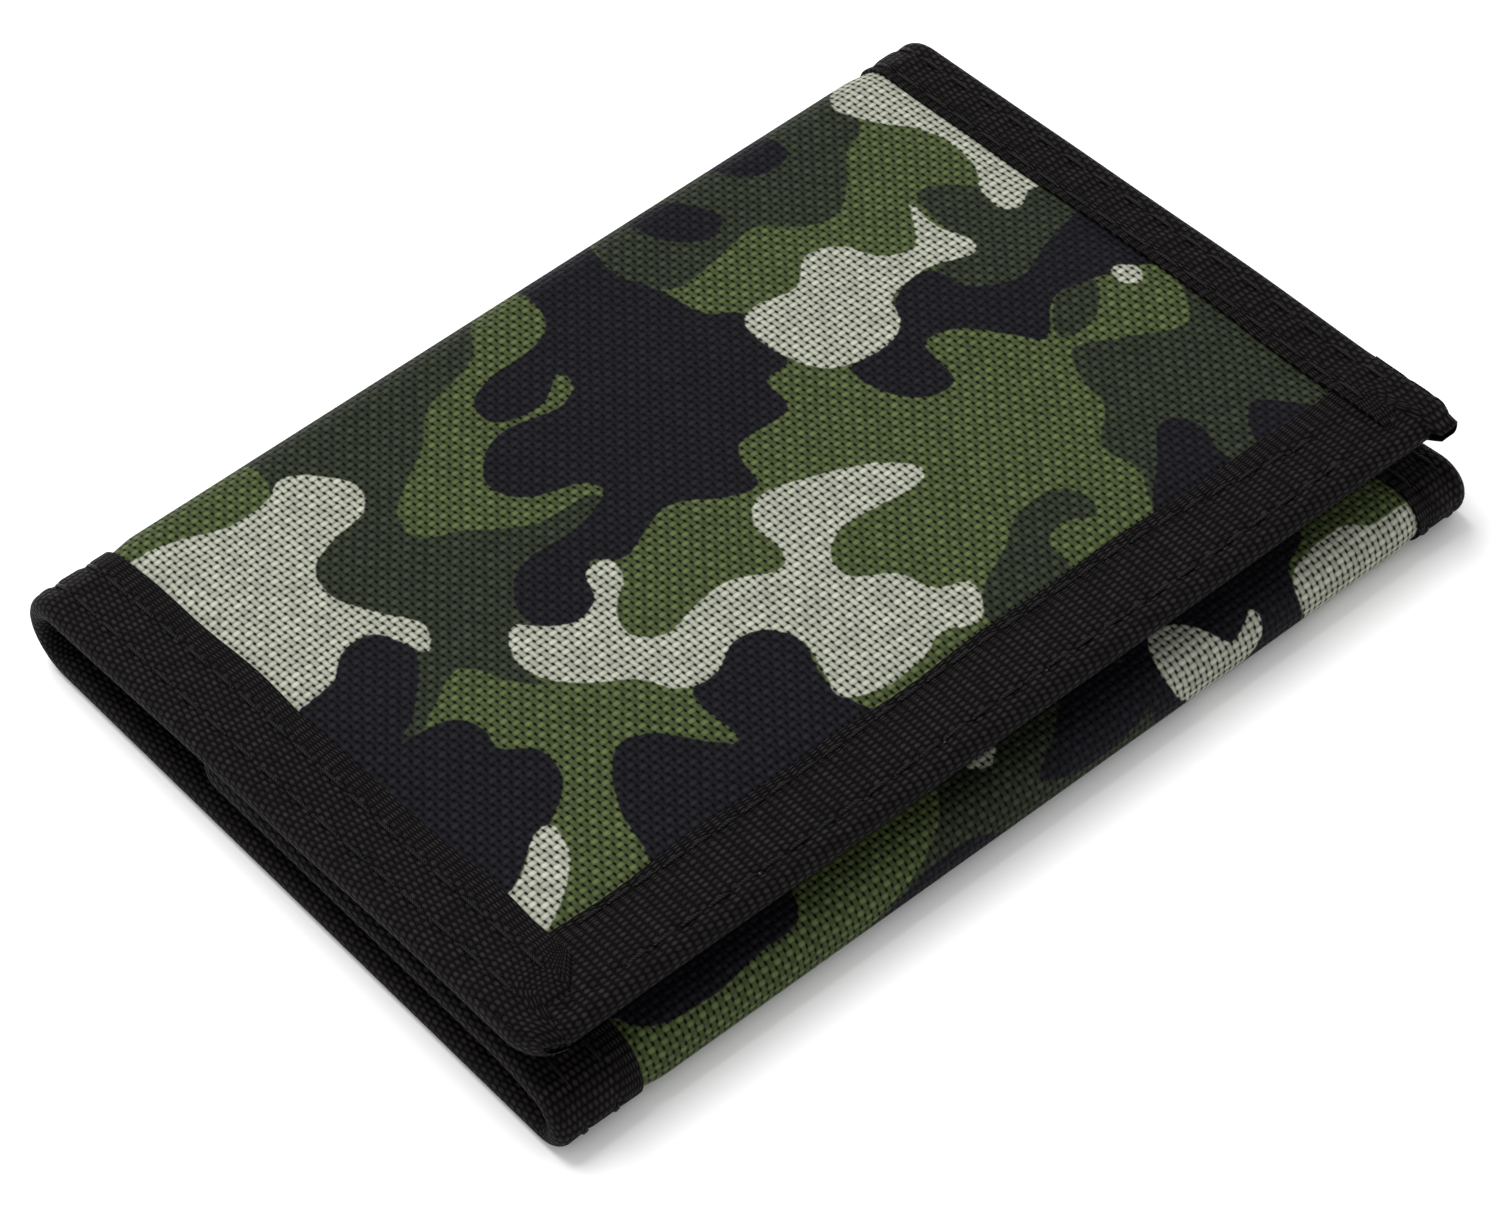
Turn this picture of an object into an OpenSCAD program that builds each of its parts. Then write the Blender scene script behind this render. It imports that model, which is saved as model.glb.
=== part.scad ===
// Trifold wallet, closed and lying flat: a back panel, a front flap folded over it
// from one side, and a shorter inner flap folded in between from the other side.
// X runs across the folds, Y along them and Z up. The origin is under the middle.

/* [Wallet] */
// Length of the wallet along its folds
wallet_length = 125; // [115:1:140]
// Width of the closed wallet across its folds
wallet_width = 91.8; // [90:0.1:100]
// Tilt of the closed front flap, in degrees
flap_tilt = 3; // [3:0.1:4]

/* [Folds] */
// Outside radius of the fold between back panel and front flap
front_fold_radius = 5.65; // [5.6:0.05:6.2]
// Outside radius of the fold between back panel and inner flap
inner_fold_radius = 4.05; // [4:0.05:4.3]
// Gap between a fold and the panel beside it
fold_gap = 0.3; // [0.2:0.05:0.5]

/* [Panels] */
// Length of the front flap, from its fold to its free edge
front_flap_length = 84; // [80:0.5:86]
// Length of the inner flap, from its fold to its free edge
inner_flap_length = 59.75; // [56:0.25:60]
// How much shorter the inner flap is than the wallet, at each end
inner_flap_inset = 0.8; // [0:0.1:2]
// Thickness of a finished panel over its binding
panel_thickness = 2.9; // [2.9:0.1:3]
// Thickness of the outer canvas
canvas_thickness = 0.6; // [0.5:0.05:0.7]
// Thickness of the lining cloth
lining_thickness = 0.4; // [0.3:0.05:0.4]

/* [Binding tape] */
// Width of the tape that shows on each face
tape_width = 12; // [8:0.5:14]
// Thickness of the tape
tape_thickness = 0.45; // [0.4:0.01:0.45]

/* [Card pockets] */
// Width of the pockets, for a card stood on its short side
pocket_width = 58; // [57:0.5:60]
// Height of the front pocket
pocket_height = 62; // [55:1:66]
// Step from the edge of one pocket to the next
pocket_step = 11; // [8:1:12]
// Thickness of a pocket sheet
pocket_thickness = 0.35; // [0.2:0.05:0.35]
// Width of the narrow tape on a pocket's edge
pocket_tape_width = 6; // [4:0.5:7]

/* [Coin pocket zip] */
// Distance of the zip from the front fold
zip_offset = 9; // [9:0.25:10]
// Length of the zip's teeth
zip_length = 96; // [80:1:98]
// Width of the slot that the zip shows through
zip_slot_width = 8; // [7.5:0.5:8]
// Length of the zip's slider
slider_length = 9; // [8:0.5:10]
// Width of the zip's slider
slider_width = 7; // [6:0.5:7]
// Reach of the pull tab from its hinge pin
pull_length = 11; // [9:0.5:11]

/* [Closure] */
// Width of the hook and loop patches
patch_width = 18; // [12:1:18]
// Length of the hook and loop patches
patch_length = 64; // [40:1:80]
// Thickness of each patch
patch_thickness = 1.6; // [1.2:0.1:1.6]

/* [Photo window] */
// Width of the window's frame
window_width = 44; // [38:1:45]
// Height of the window's frame
window_height = 94; // [80:1:96]
// Width of the frame's border
window_border = 5; // [3:0.5:6]

/* [Hidden] */
$fn = 64;

half_length = wallet_length / 2;
inner_half_length = half_length - inner_flap_inset;
front_fold_x = front_fold_radius - wallet_width / 2;
inner_fold_x = wallet_width / 2 - inner_fold_radius;
back_width = inner_fold_x - front_fold_x;
canvas_depth = tape_thickness + canvas_thickness;
lining_depth = panel_thickness - tape_thickness;
lining_face = lining_depth - lining_thickness;
front_gap_angle = fold_gap / front_fold_radius * 180 / PI;
inner_gap_angle = fold_gap / inner_fold_radius * 180 / PI;

// Zip: the teeth lie on the tapes, and the slider's two plates run over and under them
teeth_gap = 0.4;
teeth_width = 1.8;
teeth_height = 0.9;
zip_tape_width = 6.5;
zip_tape_thickness = 0.4;
stop_length = 1.5;
slider_plate = 0.5;
slider_play = 0.15;
slider_post = 0.5;
slider_rest_y = zip_length / 2 - slider_length / 2 - stop_length;
pin_radius = 0.45;
eye_radius = 1.05;
lug_height = 1.9;
lug_thickness = 0.8;
eye_width = 2;
pull_thickness = 0.8;
pull_width = 3.6;
slider_face = lining_face + teeth_height + slider_play + slider_plate;
pin_depth = slider_face + eye_radius + slider_play;

// Patches meet at this distance from the inner fold
patch_offset = 11.85;
patch_on_flap = (inner_fold_x - patch_offset - patch_width - front_fold_x) / cos(flap_tilt);

// A panel's own frame: X from its fold to its free edge, Y along the fold, and the
// outer face at Z = 0 with the layers below it

module in_front_flap() {
  translate([front_fold_x, 0, front_fold_radius])
    rotate([0, -flap_tilt, 0])
      translate([0, 0, front_fold_radius])
        children();
}

module in_inner_flap() {
  translate([inner_fold_x, 0, 2 * inner_fold_radius])
    mirror([1, 0, 0])
      children();
}

module in_back_panel() {
  translate([front_fold_x, 0, 0])
    mirror([0, 0, 1])
      children();
}

// A flat sheet from x0 to x1, y0 to y1, between two depths under the outer face
module sheet(x0, x1, y0, y1, top, bottom) {
  translate([x0, y0, -bottom])
    cube([x1 - x0, y1 - y0, bottom - top]);
}

// Canvas of a panel: it stands level with the binding, and steps down under it
module canvas_panel(length, half, free_edge) {
  edge = free_edge ? tape_width : 0;
  lap = 1;
  difference() {
    sheet(0, free_edge ? length - tape_thickness : length,
          -half + tape_thickness, half - tape_thickness, tape_thickness, canvas_depth);
    sheet(-1, length - edge - lap, -half + tape_width + lap, half - tape_width - lap,
          canvas_thickness, canvas_depth + 1);
  }
  sheet(0, length - edge, -half + tape_width, half - tape_width, 0, canvas_thickness);
}

// Tape folded over a short end: a channel, mitred where it meets a free edge's tape
module end_binding(length, half, mitred, top = 0, bottom = panel_thickness) {
  inner = mitred ? length - tape_width : length;
  difference() {
    translate([0, -half, -bottom])
      linear_extrude(bottom - top)
        polygon([[0, 0], [length, 0], [inner, tape_width], [0, tape_width]]);
    sheet(-1, length + 1, -half + tape_thickness, -half + tape_width + 1,
          top + tape_thickness, bottom - tape_thickness);
  }
}

// Tape folded over a panel's free edge, mitred at both corners
module edge_binding(length, half) {
  difference() {
    translate([length, 0, -panel_thickness])
      linear_extrude(panel_thickness)
        polygon([[0, -half], [0, half], [-tape_width, half - tape_width],
                 [-tape_width, tape_width - half]]);
    sheet(length - tape_width - 1, length - tape_thickness, -half, half,
          tape_thickness, lining_depth);
  }
}

module far_end() {
  mirror([0, 1, 0])
    children();
}

// Sweeps a section, drawn as radius and length, round a fold's centre line
module fold_sweep(x, radius, start, sweep) {
  translate([x, 0, radius])
    rotate([90, 0, 0])
      rotate([0, 0, start])
        rotate_extrude(angle = sweep)
          children();
}

module front_fold_sweep() {
  fold_sweep(front_fold_x, front_fold_radius, 90 + flap_tilt + front_gap_angle,
             180 - flap_tilt - 2 * front_gap_angle)
    children();
}

module inner_fold_sweep() {
  fold_sweep(inner_fold_x, inner_fold_radius, inner_gap_angle - 90,
             180 - 2 * inner_gap_angle)
    children();
}

// Section of the canvas round a fold, stepped down under the tapes as on the panels
module canvas_section(radius) {
  difference() {
    translate([radius - canvas_depth, -half_length + tape_thickness])
      square([canvas_depth, wallet_length - 2 * tape_thickness]);
    for (side = [-1, 1])
      translate([radius - tape_thickness, side * (half_length - tape_width / 2) - tape_width / 2])
        square([tape_thickness + 1, tape_width]);
  }
}

module lining_section(radius) {
  translate([radius - lining_depth, -half_length + tape_thickness])
    square([lining_thickness, wallet_length - 2 * tape_thickness]);
}

// Section of the tape at the near end of a fold
module binding_section(radius) {
  difference() {
    translate([radius - panel_thickness, half_length - tape_width])
      square([panel_thickness, tape_width]);
    translate([radius - lining_depth, half_length - tape_width - 1])
      square([lining_depth - tape_thickness, tape_width + 1 - tape_thickness]);
  }
}

// Back panel

module back_canvas() {
  color("darkolivegreen")
    in_back_panel()
      canvas_panel(back_width, half_length, false);
}

module back_lining() {
  color("#2b2a2b")
    in_back_panel()
      sheet(0, back_width, -half_length + tape_thickness, half_length - tape_thickness,
            lining_face, lining_depth);
}

module back_binding_near() {
  color("#1d1b1c")
    in_back_panel()
      end_binding(back_width, half_length, false);
}

// At the far end the canvas and the lining are bound apart: the bill pocket's mouth
module back_binding_far() {
  color("#1d1b1c")
    in_back_panel()
      far_end()
        end_binding(back_width, half_length, false, 0, canvas_depth + tape_thickness);
}

module bill_pocket_binding() {
  color("#1d1b1c")
    in_back_panel()
      far_end()
        end_binding(back_width, half_length, false, lining_face - tape_thickness);
}

// One card pocket sheet; the first lies on the lining and is the tallest
module card_pocket(order) {
  left = (back_width - pocket_width) / 2;
  foot = tape_width - half_length;
  top = lining_depth + order * pocket_thickness;
  in_back_panel()
    sheet(left, left + pocket_width, foot, foot + pocket_height + (2 - order) * pocket_step,
          top, top + pocket_thickness);
}

module card_pocket_rear() {
  color("#262526")
    card_pocket(0);
}

module card_pocket_middle() {
  color("#262526")
    card_pocket(1);
}

module card_pocket_front() {
  color("#262526")
    card_pocket(2);
}

// Narrow tapes on the upper edges of the three pockets, each on its own sheet
module card_pocket_bindings() {
  left = (back_width - pocket_width) / 2;
  color("#1d1b1c")
    in_back_panel()
      for (order = [0:2]) {
        edge = tape_width - half_length + pocket_height + (2 - order) * pocket_step;
        face = lining_depth + (order + 1) * pocket_thickness;
        sheet(left, left + pocket_width, edge - pocket_tape_width, edge, face, face + 0.25);
      }
}

// Front fold

module front_fold_canvas() {
  color("darkolivegreen")
    front_fold_sweep()
      canvas_section(front_fold_radius);
}

module front_fold_lining() {
  color("#2b2a2b")
    front_fold_sweep()
      lining_section(front_fold_radius);
}

module front_fold_binding_near() {
  color("#1d1b1c")
    front_fold_sweep()
      binding_section(front_fold_radius);
}

module front_fold_binding_far() {
  color("#1d1b1c")
    far_end()
      front_fold_sweep()
        binding_section(front_fold_radius);
}

// Front flap, whose lining is the face of the coin pocket

module front_canvas() {
  color("darkolivegreen")
    in_front_flap()
      canvas_panel(front_flap_length, half_length, true);
}

module coin_pocket_strip() {
  color("#2b2a2b")
    in_front_flap()
      sheet(0, zip_offset - zip_slot_width / 2, -half_length + tape_thickness,
            half_length - tape_thickness, lining_face, lining_depth);
}

module coin_pocket_face() {
  color("#2b2a2b")
    in_front_flap()
      sheet(zip_offset + zip_slot_width / 2, front_flap_length - tape_thickness,
            -half_length + tape_thickness, half_length - tape_thickness,
            lining_face, lining_depth);
}

module front_binding_near() {
  color("#1d1b1c")
    in_front_flap()
      end_binding(front_flap_length, half_length, true);
}

module front_binding_far() {
  color("#1d1b1c")
    in_front_flap()
      far_end()
        end_binding(front_flap_length, half_length, true);
}

module front_binding_edge() {
  color("#1d1b1c")
    in_front_flap()
      edge_binding(front_flap_length, half_length);
}

module hook_patch() {
  color("#161617")
    in_front_flap()
      sheet(patch_on_flap, patch_on_flap + patch_width, -patch_length / 2, patch_length / 2,
            lining_depth, lining_depth + patch_thickness);
}

// Zip of the coin pocket

module zip_tape() {
  sheet(teeth_gap, teeth_gap + zip_tape_width, -zip_length / 2 - 4, zip_length / 2 + 4,
        lining_face - zip_tape_thickness, lining_face);
}

module zip_teeth() {
  sheet(teeth_gap, teeth_gap + teeth_width, stop_length - zip_length / 2,
        zip_length / 2 - stop_length, lining_face, lining_face + teeth_height);
}

module zip_side(side) {
  in_front_flap()
    translate([zip_offset, 0, 0])
      mirror([side < 0 ? 1 : 0, 0, 0])
        children();
}

module zip_tape_left() {
  color("#202021")
    zip_side(-1)
      zip_tape();
}

module zip_tape_right() {
  color("#202021")
    zip_side(1)
      zip_tape();
}

module zip_teeth_left() {
  color("#303032")
    zip_side(-1)
      zip_teeth();
}

module zip_teeth_right() {
  color("#303032")
    zip_side(1)
      zip_teeth();
}

// Two stops at the far end and one across both rows at the near end
module zip_stops() {
  reach = teeth_gap + teeth_width;
  color("dimgray")
    in_front_flap()
      translate([zip_offset, 0, 0]) {
        for (x = [-reach, teeth_gap])
          sheet(x, x + teeth_width, zip_length / 2 - stop_length, zip_length / 2,
                lining_face, lining_face + teeth_height);
        sheet(-reach, reach, -zip_length / 2, stop_length - zip_length / 2,
              lining_face, lining_face + teeth_height);
      }
}

// Slider: an inner and an outer plate on a thin post, with two lugs and a hinge pin
module zip_slider() {
  inner_face = lining_face - zip_tape_thickness - slider_play - slider_plate;
  lug = eye_width / 2 + 0.2;
  color("dimgray")
    in_front_flap()
      translate([zip_offset, slider_rest_y, 0]) {
        sheet(-slider_width / 2, slider_width / 2, -slider_length / 2, slider_length / 2,
              slider_face - slider_plate, slider_face);
        sheet(-slider_width / 2, slider_width / 2, -slider_length / 2, slider_length / 2,
              inner_face, inner_face + slider_plate);
        sheet(-slider_post / 2, slider_post / 2, -slider_length / 4, slider_length / 4,
              inner_face, slider_face);
        for (side = [-1, 1])
          sheet(side * (lug + lug_thickness / 2) - lug_thickness / 2,
                side * (lug + lug_thickness / 2) + lug_thickness / 2,
                -1, 1, slider_face - slider_plate, slider_face + lug_height);
        translate([-lug, 0, -pin_depth])
          rotate([0, 90, 0])
            cylinder(r = pin_radius, h = 2 * lug);
      }
}

// Pull tab: an eye round the slider's pin and a flat tab with a round end
module zip_pull() {
  color("dimgray")
    in_front_flap()
      translate([zip_offset, slider_rest_y, -pin_depth])
        difference() {
          union() {
            translate([-eye_width / 2, 0, 0])
              rotate([0, 90, 0])
                cylinder(r = eye_radius, h = eye_width);
            translate([-eye_width / 2, -3.2, -pull_thickness / 2])
              cube([eye_width, 3.2, pull_thickness]);
            translate([-pull_width / 2, pull_width / 2 - pull_length, -pull_thickness / 2])
              cube([pull_width, pull_length - pull_width / 2 - 2.4, pull_thickness]);
            translate([0, pull_width / 2 - pull_length, -pull_thickness / 2])
              cylinder(r = pull_width / 2, h = pull_thickness);
          }
          translate([-eye_width, 0, 0])
            rotate([0, 90, 0])
              cylinder(r = pin_radius + slider_play, h = 2 * eye_width);
        }
}

// Inner fold

module inner_fold_canvas() {
  color("darkolivegreen")
    inner_fold_sweep()
      canvas_section(inner_fold_radius);
}

module inner_fold_lining() {
  color("#2b2a2b")
    inner_fold_sweep()
      lining_section(inner_fold_radius);
}

module inner_fold_binding_near() {
  color("#1d1b1c")
    inner_fold_sweep()
      binding_section(inner_fold_radius);
}

module inner_fold_binding_far() {
  color("#1d1b1c")
    far_end()
      inner_fold_sweep()
        binding_section(inner_fold_radius);
}

// Inner flap

module inner_canvas() {
  color("darkolivegreen")
    in_inner_flap()
      canvas_panel(inner_flap_length, inner_half_length, true);
}

module inner_lining() {
  color("#2b2a2b")
    in_inner_flap()
      sheet(0, inner_flap_length - tape_thickness, -inner_half_length + tape_thickness,
            inner_half_length - tape_thickness, lining_face, lining_depth);
}

module inner_binding_near() {
  color("#1d1b1c")
    in_inner_flap()
      end_binding(inner_flap_length, inner_half_length, true);
}

module inner_binding_far() {
  color("#1d1b1c")
    in_inner_flap()
      far_end()
        end_binding(inner_flap_length, inner_half_length, true);
}

module inner_binding_tip() {
  color("#1d1b1c")
    in_inner_flap()
      edge_binding(inner_flap_length, inner_half_length);
}

module loop_patch() {
  color("#1b1b1c")
    in_inner_flap()
      sheet(patch_offset, patch_offset + patch_width, -patch_length / 2, patch_length / 2,
            -patch_thickness, 0);
}

// Photo window on the inside of the inner flap: a clear sheet in a cloth frame
module photo_window() {
  reach = window_border / 2;
  color("lightgray", 0.4)
    in_inner_flap()
      sheet(2 + reach, 2 + window_width - reach, reach - window_height / 2,
            window_height / 2 - reach, lining_depth, lining_depth + 0.2);
}

module photo_window_frame() {
  reach = window_border / 2;
  color("#1d1b1c")
    in_inner_flap()
      difference() {
        sheet(2, 2 + window_width, -window_height / 2, window_height / 2,
              lining_depth, lining_depth + 0.45);
        sheet(2 + reach, 2 + window_width - reach, reach - window_height / 2,
              window_height / 2 - reach, lining_depth - 1, lining_depth + 0.2);
        sheet(2 + window_border, 2 + window_width - window_border,
              window_border - window_height / 2, window_height / 2 - window_border,
              lining_depth - 1, lining_depth + 1);
      }
}

back_canvas();
back_lining();
back_binding_near();
back_binding_far();
bill_pocket_binding();
card_pocket_rear();
card_pocket_middle();
card_pocket_front();
card_pocket_bindings();
front_fold_canvas();
front_fold_lining();
front_fold_binding_near();
front_fold_binding_far();
front_canvas();
coin_pocket_strip();
coin_pocket_face();
front_binding_near();
front_binding_far();
front_binding_edge();
hook_patch();
zip_tape_left();
zip_tape_right();
zip_teeth_left();
zip_teeth_right();
zip_stops();
zip_slider();
zip_pull();
inner_fold_canvas();
inner_fold_lining();
inner_fold_binding_near();
inner_fold_binding_far();
inner_canvas();
inner_lining();
inner_binding_near();
inner_binding_far();
inner_binding_tip();
loop_patch();
photo_window();
photo_window_frame();
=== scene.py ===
# Trifold wallet of printed canvas, closed and lying flat, with bound and stitched edges.
import math
import bmesh
import bpy
import numpy as np
from mathutils import Matrix, Quaternion, Vector


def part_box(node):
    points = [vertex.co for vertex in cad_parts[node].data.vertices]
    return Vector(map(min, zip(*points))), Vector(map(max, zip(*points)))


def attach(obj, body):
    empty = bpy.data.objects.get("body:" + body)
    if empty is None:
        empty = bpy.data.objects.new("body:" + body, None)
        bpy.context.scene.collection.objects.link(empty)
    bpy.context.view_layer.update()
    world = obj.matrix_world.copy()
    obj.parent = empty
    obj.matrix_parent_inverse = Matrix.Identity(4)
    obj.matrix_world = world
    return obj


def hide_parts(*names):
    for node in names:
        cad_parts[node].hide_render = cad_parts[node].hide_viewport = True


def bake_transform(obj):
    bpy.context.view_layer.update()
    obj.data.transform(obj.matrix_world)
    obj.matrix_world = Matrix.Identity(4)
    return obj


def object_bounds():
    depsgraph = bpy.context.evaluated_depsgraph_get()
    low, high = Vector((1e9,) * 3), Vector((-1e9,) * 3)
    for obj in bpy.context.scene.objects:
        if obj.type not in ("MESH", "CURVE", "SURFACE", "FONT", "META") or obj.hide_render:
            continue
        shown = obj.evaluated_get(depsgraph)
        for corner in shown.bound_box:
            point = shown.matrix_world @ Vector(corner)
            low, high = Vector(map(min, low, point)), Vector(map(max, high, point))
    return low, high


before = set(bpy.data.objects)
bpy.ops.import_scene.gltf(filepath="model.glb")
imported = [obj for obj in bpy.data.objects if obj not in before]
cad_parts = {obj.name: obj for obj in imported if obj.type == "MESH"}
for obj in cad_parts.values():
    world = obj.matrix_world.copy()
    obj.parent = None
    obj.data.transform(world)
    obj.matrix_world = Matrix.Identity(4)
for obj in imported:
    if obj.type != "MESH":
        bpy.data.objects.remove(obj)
cad_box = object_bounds()

# ---------------------------------------------------------------- studio
# A long lens looks down on the wallet's free edge and near end. The floor is a plain
# pale sheet. One broad lamp hangs high behind the front fold, and a dim one stands
# beside the camera.
mm = 0.001
azimuth = math.radians(54.6)
elevation = math.radians(48.77)
camera_back = Vector((
    math.sin(azimuth) * math.cos(elevation),
    -math.cos(azimuth) * math.cos(elevation),
    math.sin(elevation),
))
camera_data = bpy.data.cameras.new("camera")
camera_data.sensor_width = 36
camera_data.lens = 131.4
camera_data.clip_start = 0.01
camera = bpy.data.objects.new("camera", camera_data)
camera.location = Vector((317.84, -226.32, 441.43)) * mm
camera.rotation_mode = "QUATERNION"
camera.rotation_quaternion = (-camera_back).to_track_quat("-Z", "Y") @ Quaternion(
    (0, 0, 1), math.radians(-5.99))
bpy.context.collection.objects.link(camera)
bpy.context.scene.camera = camera
bpy.context.scene.view_settings.view_transform = "Standard"
bpy.context.scene.view_settings.look = "None"

floor_finish = bpy.data.materials.new("pale_floor")
floor_finish.use_nodes = True
floor_shader = floor_finish.node_tree.nodes["Principled BSDF"]
floor_shader.inputs["Base Color"].default_value = (0.93, 0.93, 0.93, 1)
floor_shader.inputs["Roughness"].default_value = 0.9
shape = bmesh.new()
bmesh.ops.create_grid(shape, x_segments=1, y_segments=1, size=2)
floor_mesh = bpy.data.meshes.new("floor")
shape.to_mesh(floor_mesh)
shape.free()
floor_mesh.materials.append(floor_finish)
floor = bpy.data.objects.new("floor", floor_mesh)
bpy.context.collection.objects.link(floor)

world = bpy.data.worlds.new("studio")
world.use_nodes = True
world.node_tree.nodes["Background"].inputs["Color"].default_value = (1, 1, 1, 1)
world.node_tree.nodes["Background"].inputs["Strength"].default_value = 0.76
bpy.context.scene.world = world
for name, place, size, power in (
        ("key_lamp", (-0.34, -0.04, 0.80), 0.55, 7.2),
        ("fill_lamp", (0.55, -0.65, 0.60), 0.60, 1.0)):
    lamp_data = bpy.data.lights.new(name, "AREA")
    lamp_data.shape = "DISK"
    lamp_data.size = size
    lamp_data.energy = power
    lamp = bpy.data.objects.new(name, lamp_data)
    lamp.location = place
    lamp.rotation_mode = "QUATERNION"
    lamp.rotation_quaternion = Vector(place).to_track_quat("Z", "Y")
    bpy.context.collection.objects.link(lamp)

# ---------------------------------------------------------------- outer canvas
# One long strip of coated polyester canvas, woven from thick yarns and printed in four
# colours before it was cut. It is folded twice, and its edges are held in the binding.
# It is made in four lengths, which meet in the middle of each fold and of the back.

# The strip's flat places are (u, v, depth). u is 0 where the front flap leaves its fold
# and rises to the flap's free edge, v runs along the folds, and depth is measured in
# from the wallet's outer face.
half_length = (cad_box[1].y - cad_box[0].y) / 2
back_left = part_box("back_canvas")[0].x
back_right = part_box("back_canvas")[1].x
front_radius = back_left - cad_box[0].x
inner_radius = cad_box[1].x - back_right
tilt = math.radians(3)
stack = 2.9 * mm
front_edge = 84 * mm
back_start = -front_radius * (math.pi - tilt)
back_end = back_start - (back_right - back_left)
inner_start = back_end - math.pi * inner_radius
inner_tip = inner_start - 59.75 * mm
front_mid = -front_radius * (math.pi / 2 - tilt)
back_mid = (back_start + back_end) / 2
inner_mid = back_end - math.pi * inner_radius / 2
inner_inset = 0.8 * mm
corner_reach = 8 * mm
near_corner_radius = 5.5 * mm
far_corner_radius = 2 * mm


def ease(value, low, high):
    """0 below low, 1 above high and a smooth rise between."""
    share = np.clip((value - low) / (high - low), 0, 1)
    return share * share * (3 - 2 * share)


def swell(u, v):
    """How far the sewn front flap stands off a true plane: a bow and a few soft waves."""
    bow = np.sin(np.pi * np.clip(u / front_edge, 0, 1)) ** 2 * np.cos(v / (60 * mm))
    waves = np.sin(u / (9 * mm) + 1.3 * np.sin(v / (17 * mm))) * np.sin(v / (12 * mm) + 0.7)
    ripples = np.sin(u / (5.3 * mm) - v / (7.1 * mm))
    return (0.6 * bow + (0.20 * waves + 0.08 * ripples) * ease(u, 12 * mm, 26 * mm)) * mm


def round_corner(along, across, radius):
    """Pulls in the places near a corner; both values are distances from the two edges."""
    x = np.clip(1 - along / radius, 0, 1)
    y = np.clip(1 - across / radius, 0, 1)
    along = along + x * (1 - np.sqrt(1 - y * y / 2)) * radius
    across = across + y * (1 - np.sqrt(1 - x * x / 2)) * radius
    return along, across


def fold_up(flat):
    """Takes flat places, a row each, to their places in the closed wallet."""
    u, v, depth = flat[:, 0].copy(), flat[:, 1].copy(), flat[:, 2].copy()
    side = np.sign(v)
    from_end = half_length - np.abs(v)
    for edge, way in ((front_edge, 1), (inner_tip, -1)):
        from_edge = (edge - u) * way
        near = (from_edge < corner_reach) & (from_end < corner_reach)
        radius = np.where(side < 0, near_corner_radius, far_corner_radius)
        rounded = round_corner(from_edge, from_end, radius)
        u = np.where(near, edge - rounded[0] * way, u)
        from_end = np.where(near, rounded[1], from_end)
    # The inner flap is a little shorter along the folds than the rest, so that it tucks in
    narrowed = inner_inset / half_length * ease(inner_mid - u, 0, 14 * mm)
    v = side * (half_length - from_end) * (1 - narrowed)
    depth = depth - swell(u, v)
    # The bend angle round each fold, and the length past it on the straight of its flap
    outer = np.pi / 2 + tilt - np.clip(u, back_start, 0) / front_radius
    inner = -np.pi / 2 + (back_end - np.clip(u, inner_start, back_end)) / inner_radius
    on_front = u > back_mid
    past = np.where(on_front, np.maximum(u, 0), np.maximum(inner_start - u, 0))
    x = np.where(
        on_front,
        back_left + (front_radius - depth) * np.cos(outer) + past * math.cos(tilt)
        + np.maximum(back_start - u, 0),
        back_right + (inner_radius - depth) * np.cos(inner) - past
        - np.maximum(u - back_end, 0))
    z = np.where(
        on_front,
        front_radius + (front_radius - depth) * np.sin(outer) + past * math.sin(tilt),
        inner_radius + (inner_radius - depth) * np.sin(inner))
    return np.stack([x, v, z], 1)


def thicken(shape, height):
    upper = bmesh.ops.extrude_face_region(shape, geom=shape.faces[:])["geom"]
    raised = [e for e in upper if isinstance(e, bmesh.types.BMVert)]
    bmesh.ops.translate(shape, vec=(0, 0, height), verts=raised)


def flat_cloth(u0, u1, v0, v1, top, bottom, step):
    """A closed flat sheet with an even grid on both faces; its places are (u, v, -depth)."""
    shape = bmesh.new()
    bmesh.ops.create_grid(
        shape, x_segments=round((u1 - u0) / step), y_segments=round((v1 - v0) / step), size=0.5)
    bmesh.ops.scale(shape, vec=(u1 - u0, v1 - v0, 1), verts=shape.verts)
    bmesh.ops.translate(shape, vec=((u0 + u1) / 2, (v0 + v1) / 2, -bottom), verts=shape.verts)
    thicken(shape, bottom - top)
    bmesh.ops.recalc_face_normals(shape, faces=shape.faces)
    return shape


def places_in(shape):
    return np.array([v.co for v in shape.verts]) * (1, 1, -1)


def sew(name, shape, finish, flat=None, pattern=None, sharp=40):
    """Folds a flat shape into the wallet. Its pattern places stay on it as a UV map in
    millimetres, and edges sharper than the given angle stay crisp."""
    flat = places_in(shape) if flat is None else flat
    pattern = (flat if pattern is None else pattern) / mm
    layer = shape.loops.layers.uv.new("cloth")
    shape.verts.index_update()
    for face in shape.faces:
        face.smooth = True
        for loop in face.loops:
            loop[layer].uv = pattern[loop.vert.index][:2]
    for vert, place in zip(shape.verts, fold_up(flat)):
        vert.co = place
    bmesh.ops.recalc_face_normals(shape, faces=shape.faces)
    for edge in shape.edges:
        edge.smooth = edge.calc_face_angle(0) < math.radians(sharp)
    mesh = bpy.data.meshes.new(name)
    shape.to_mesh(mesh)
    shape.free()
    mesh.materials.append(finish)
    piece = bpy.data.objects.new(name, mesh)
    bpy.context.collection.objects.link(piece)
    return piece


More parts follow.
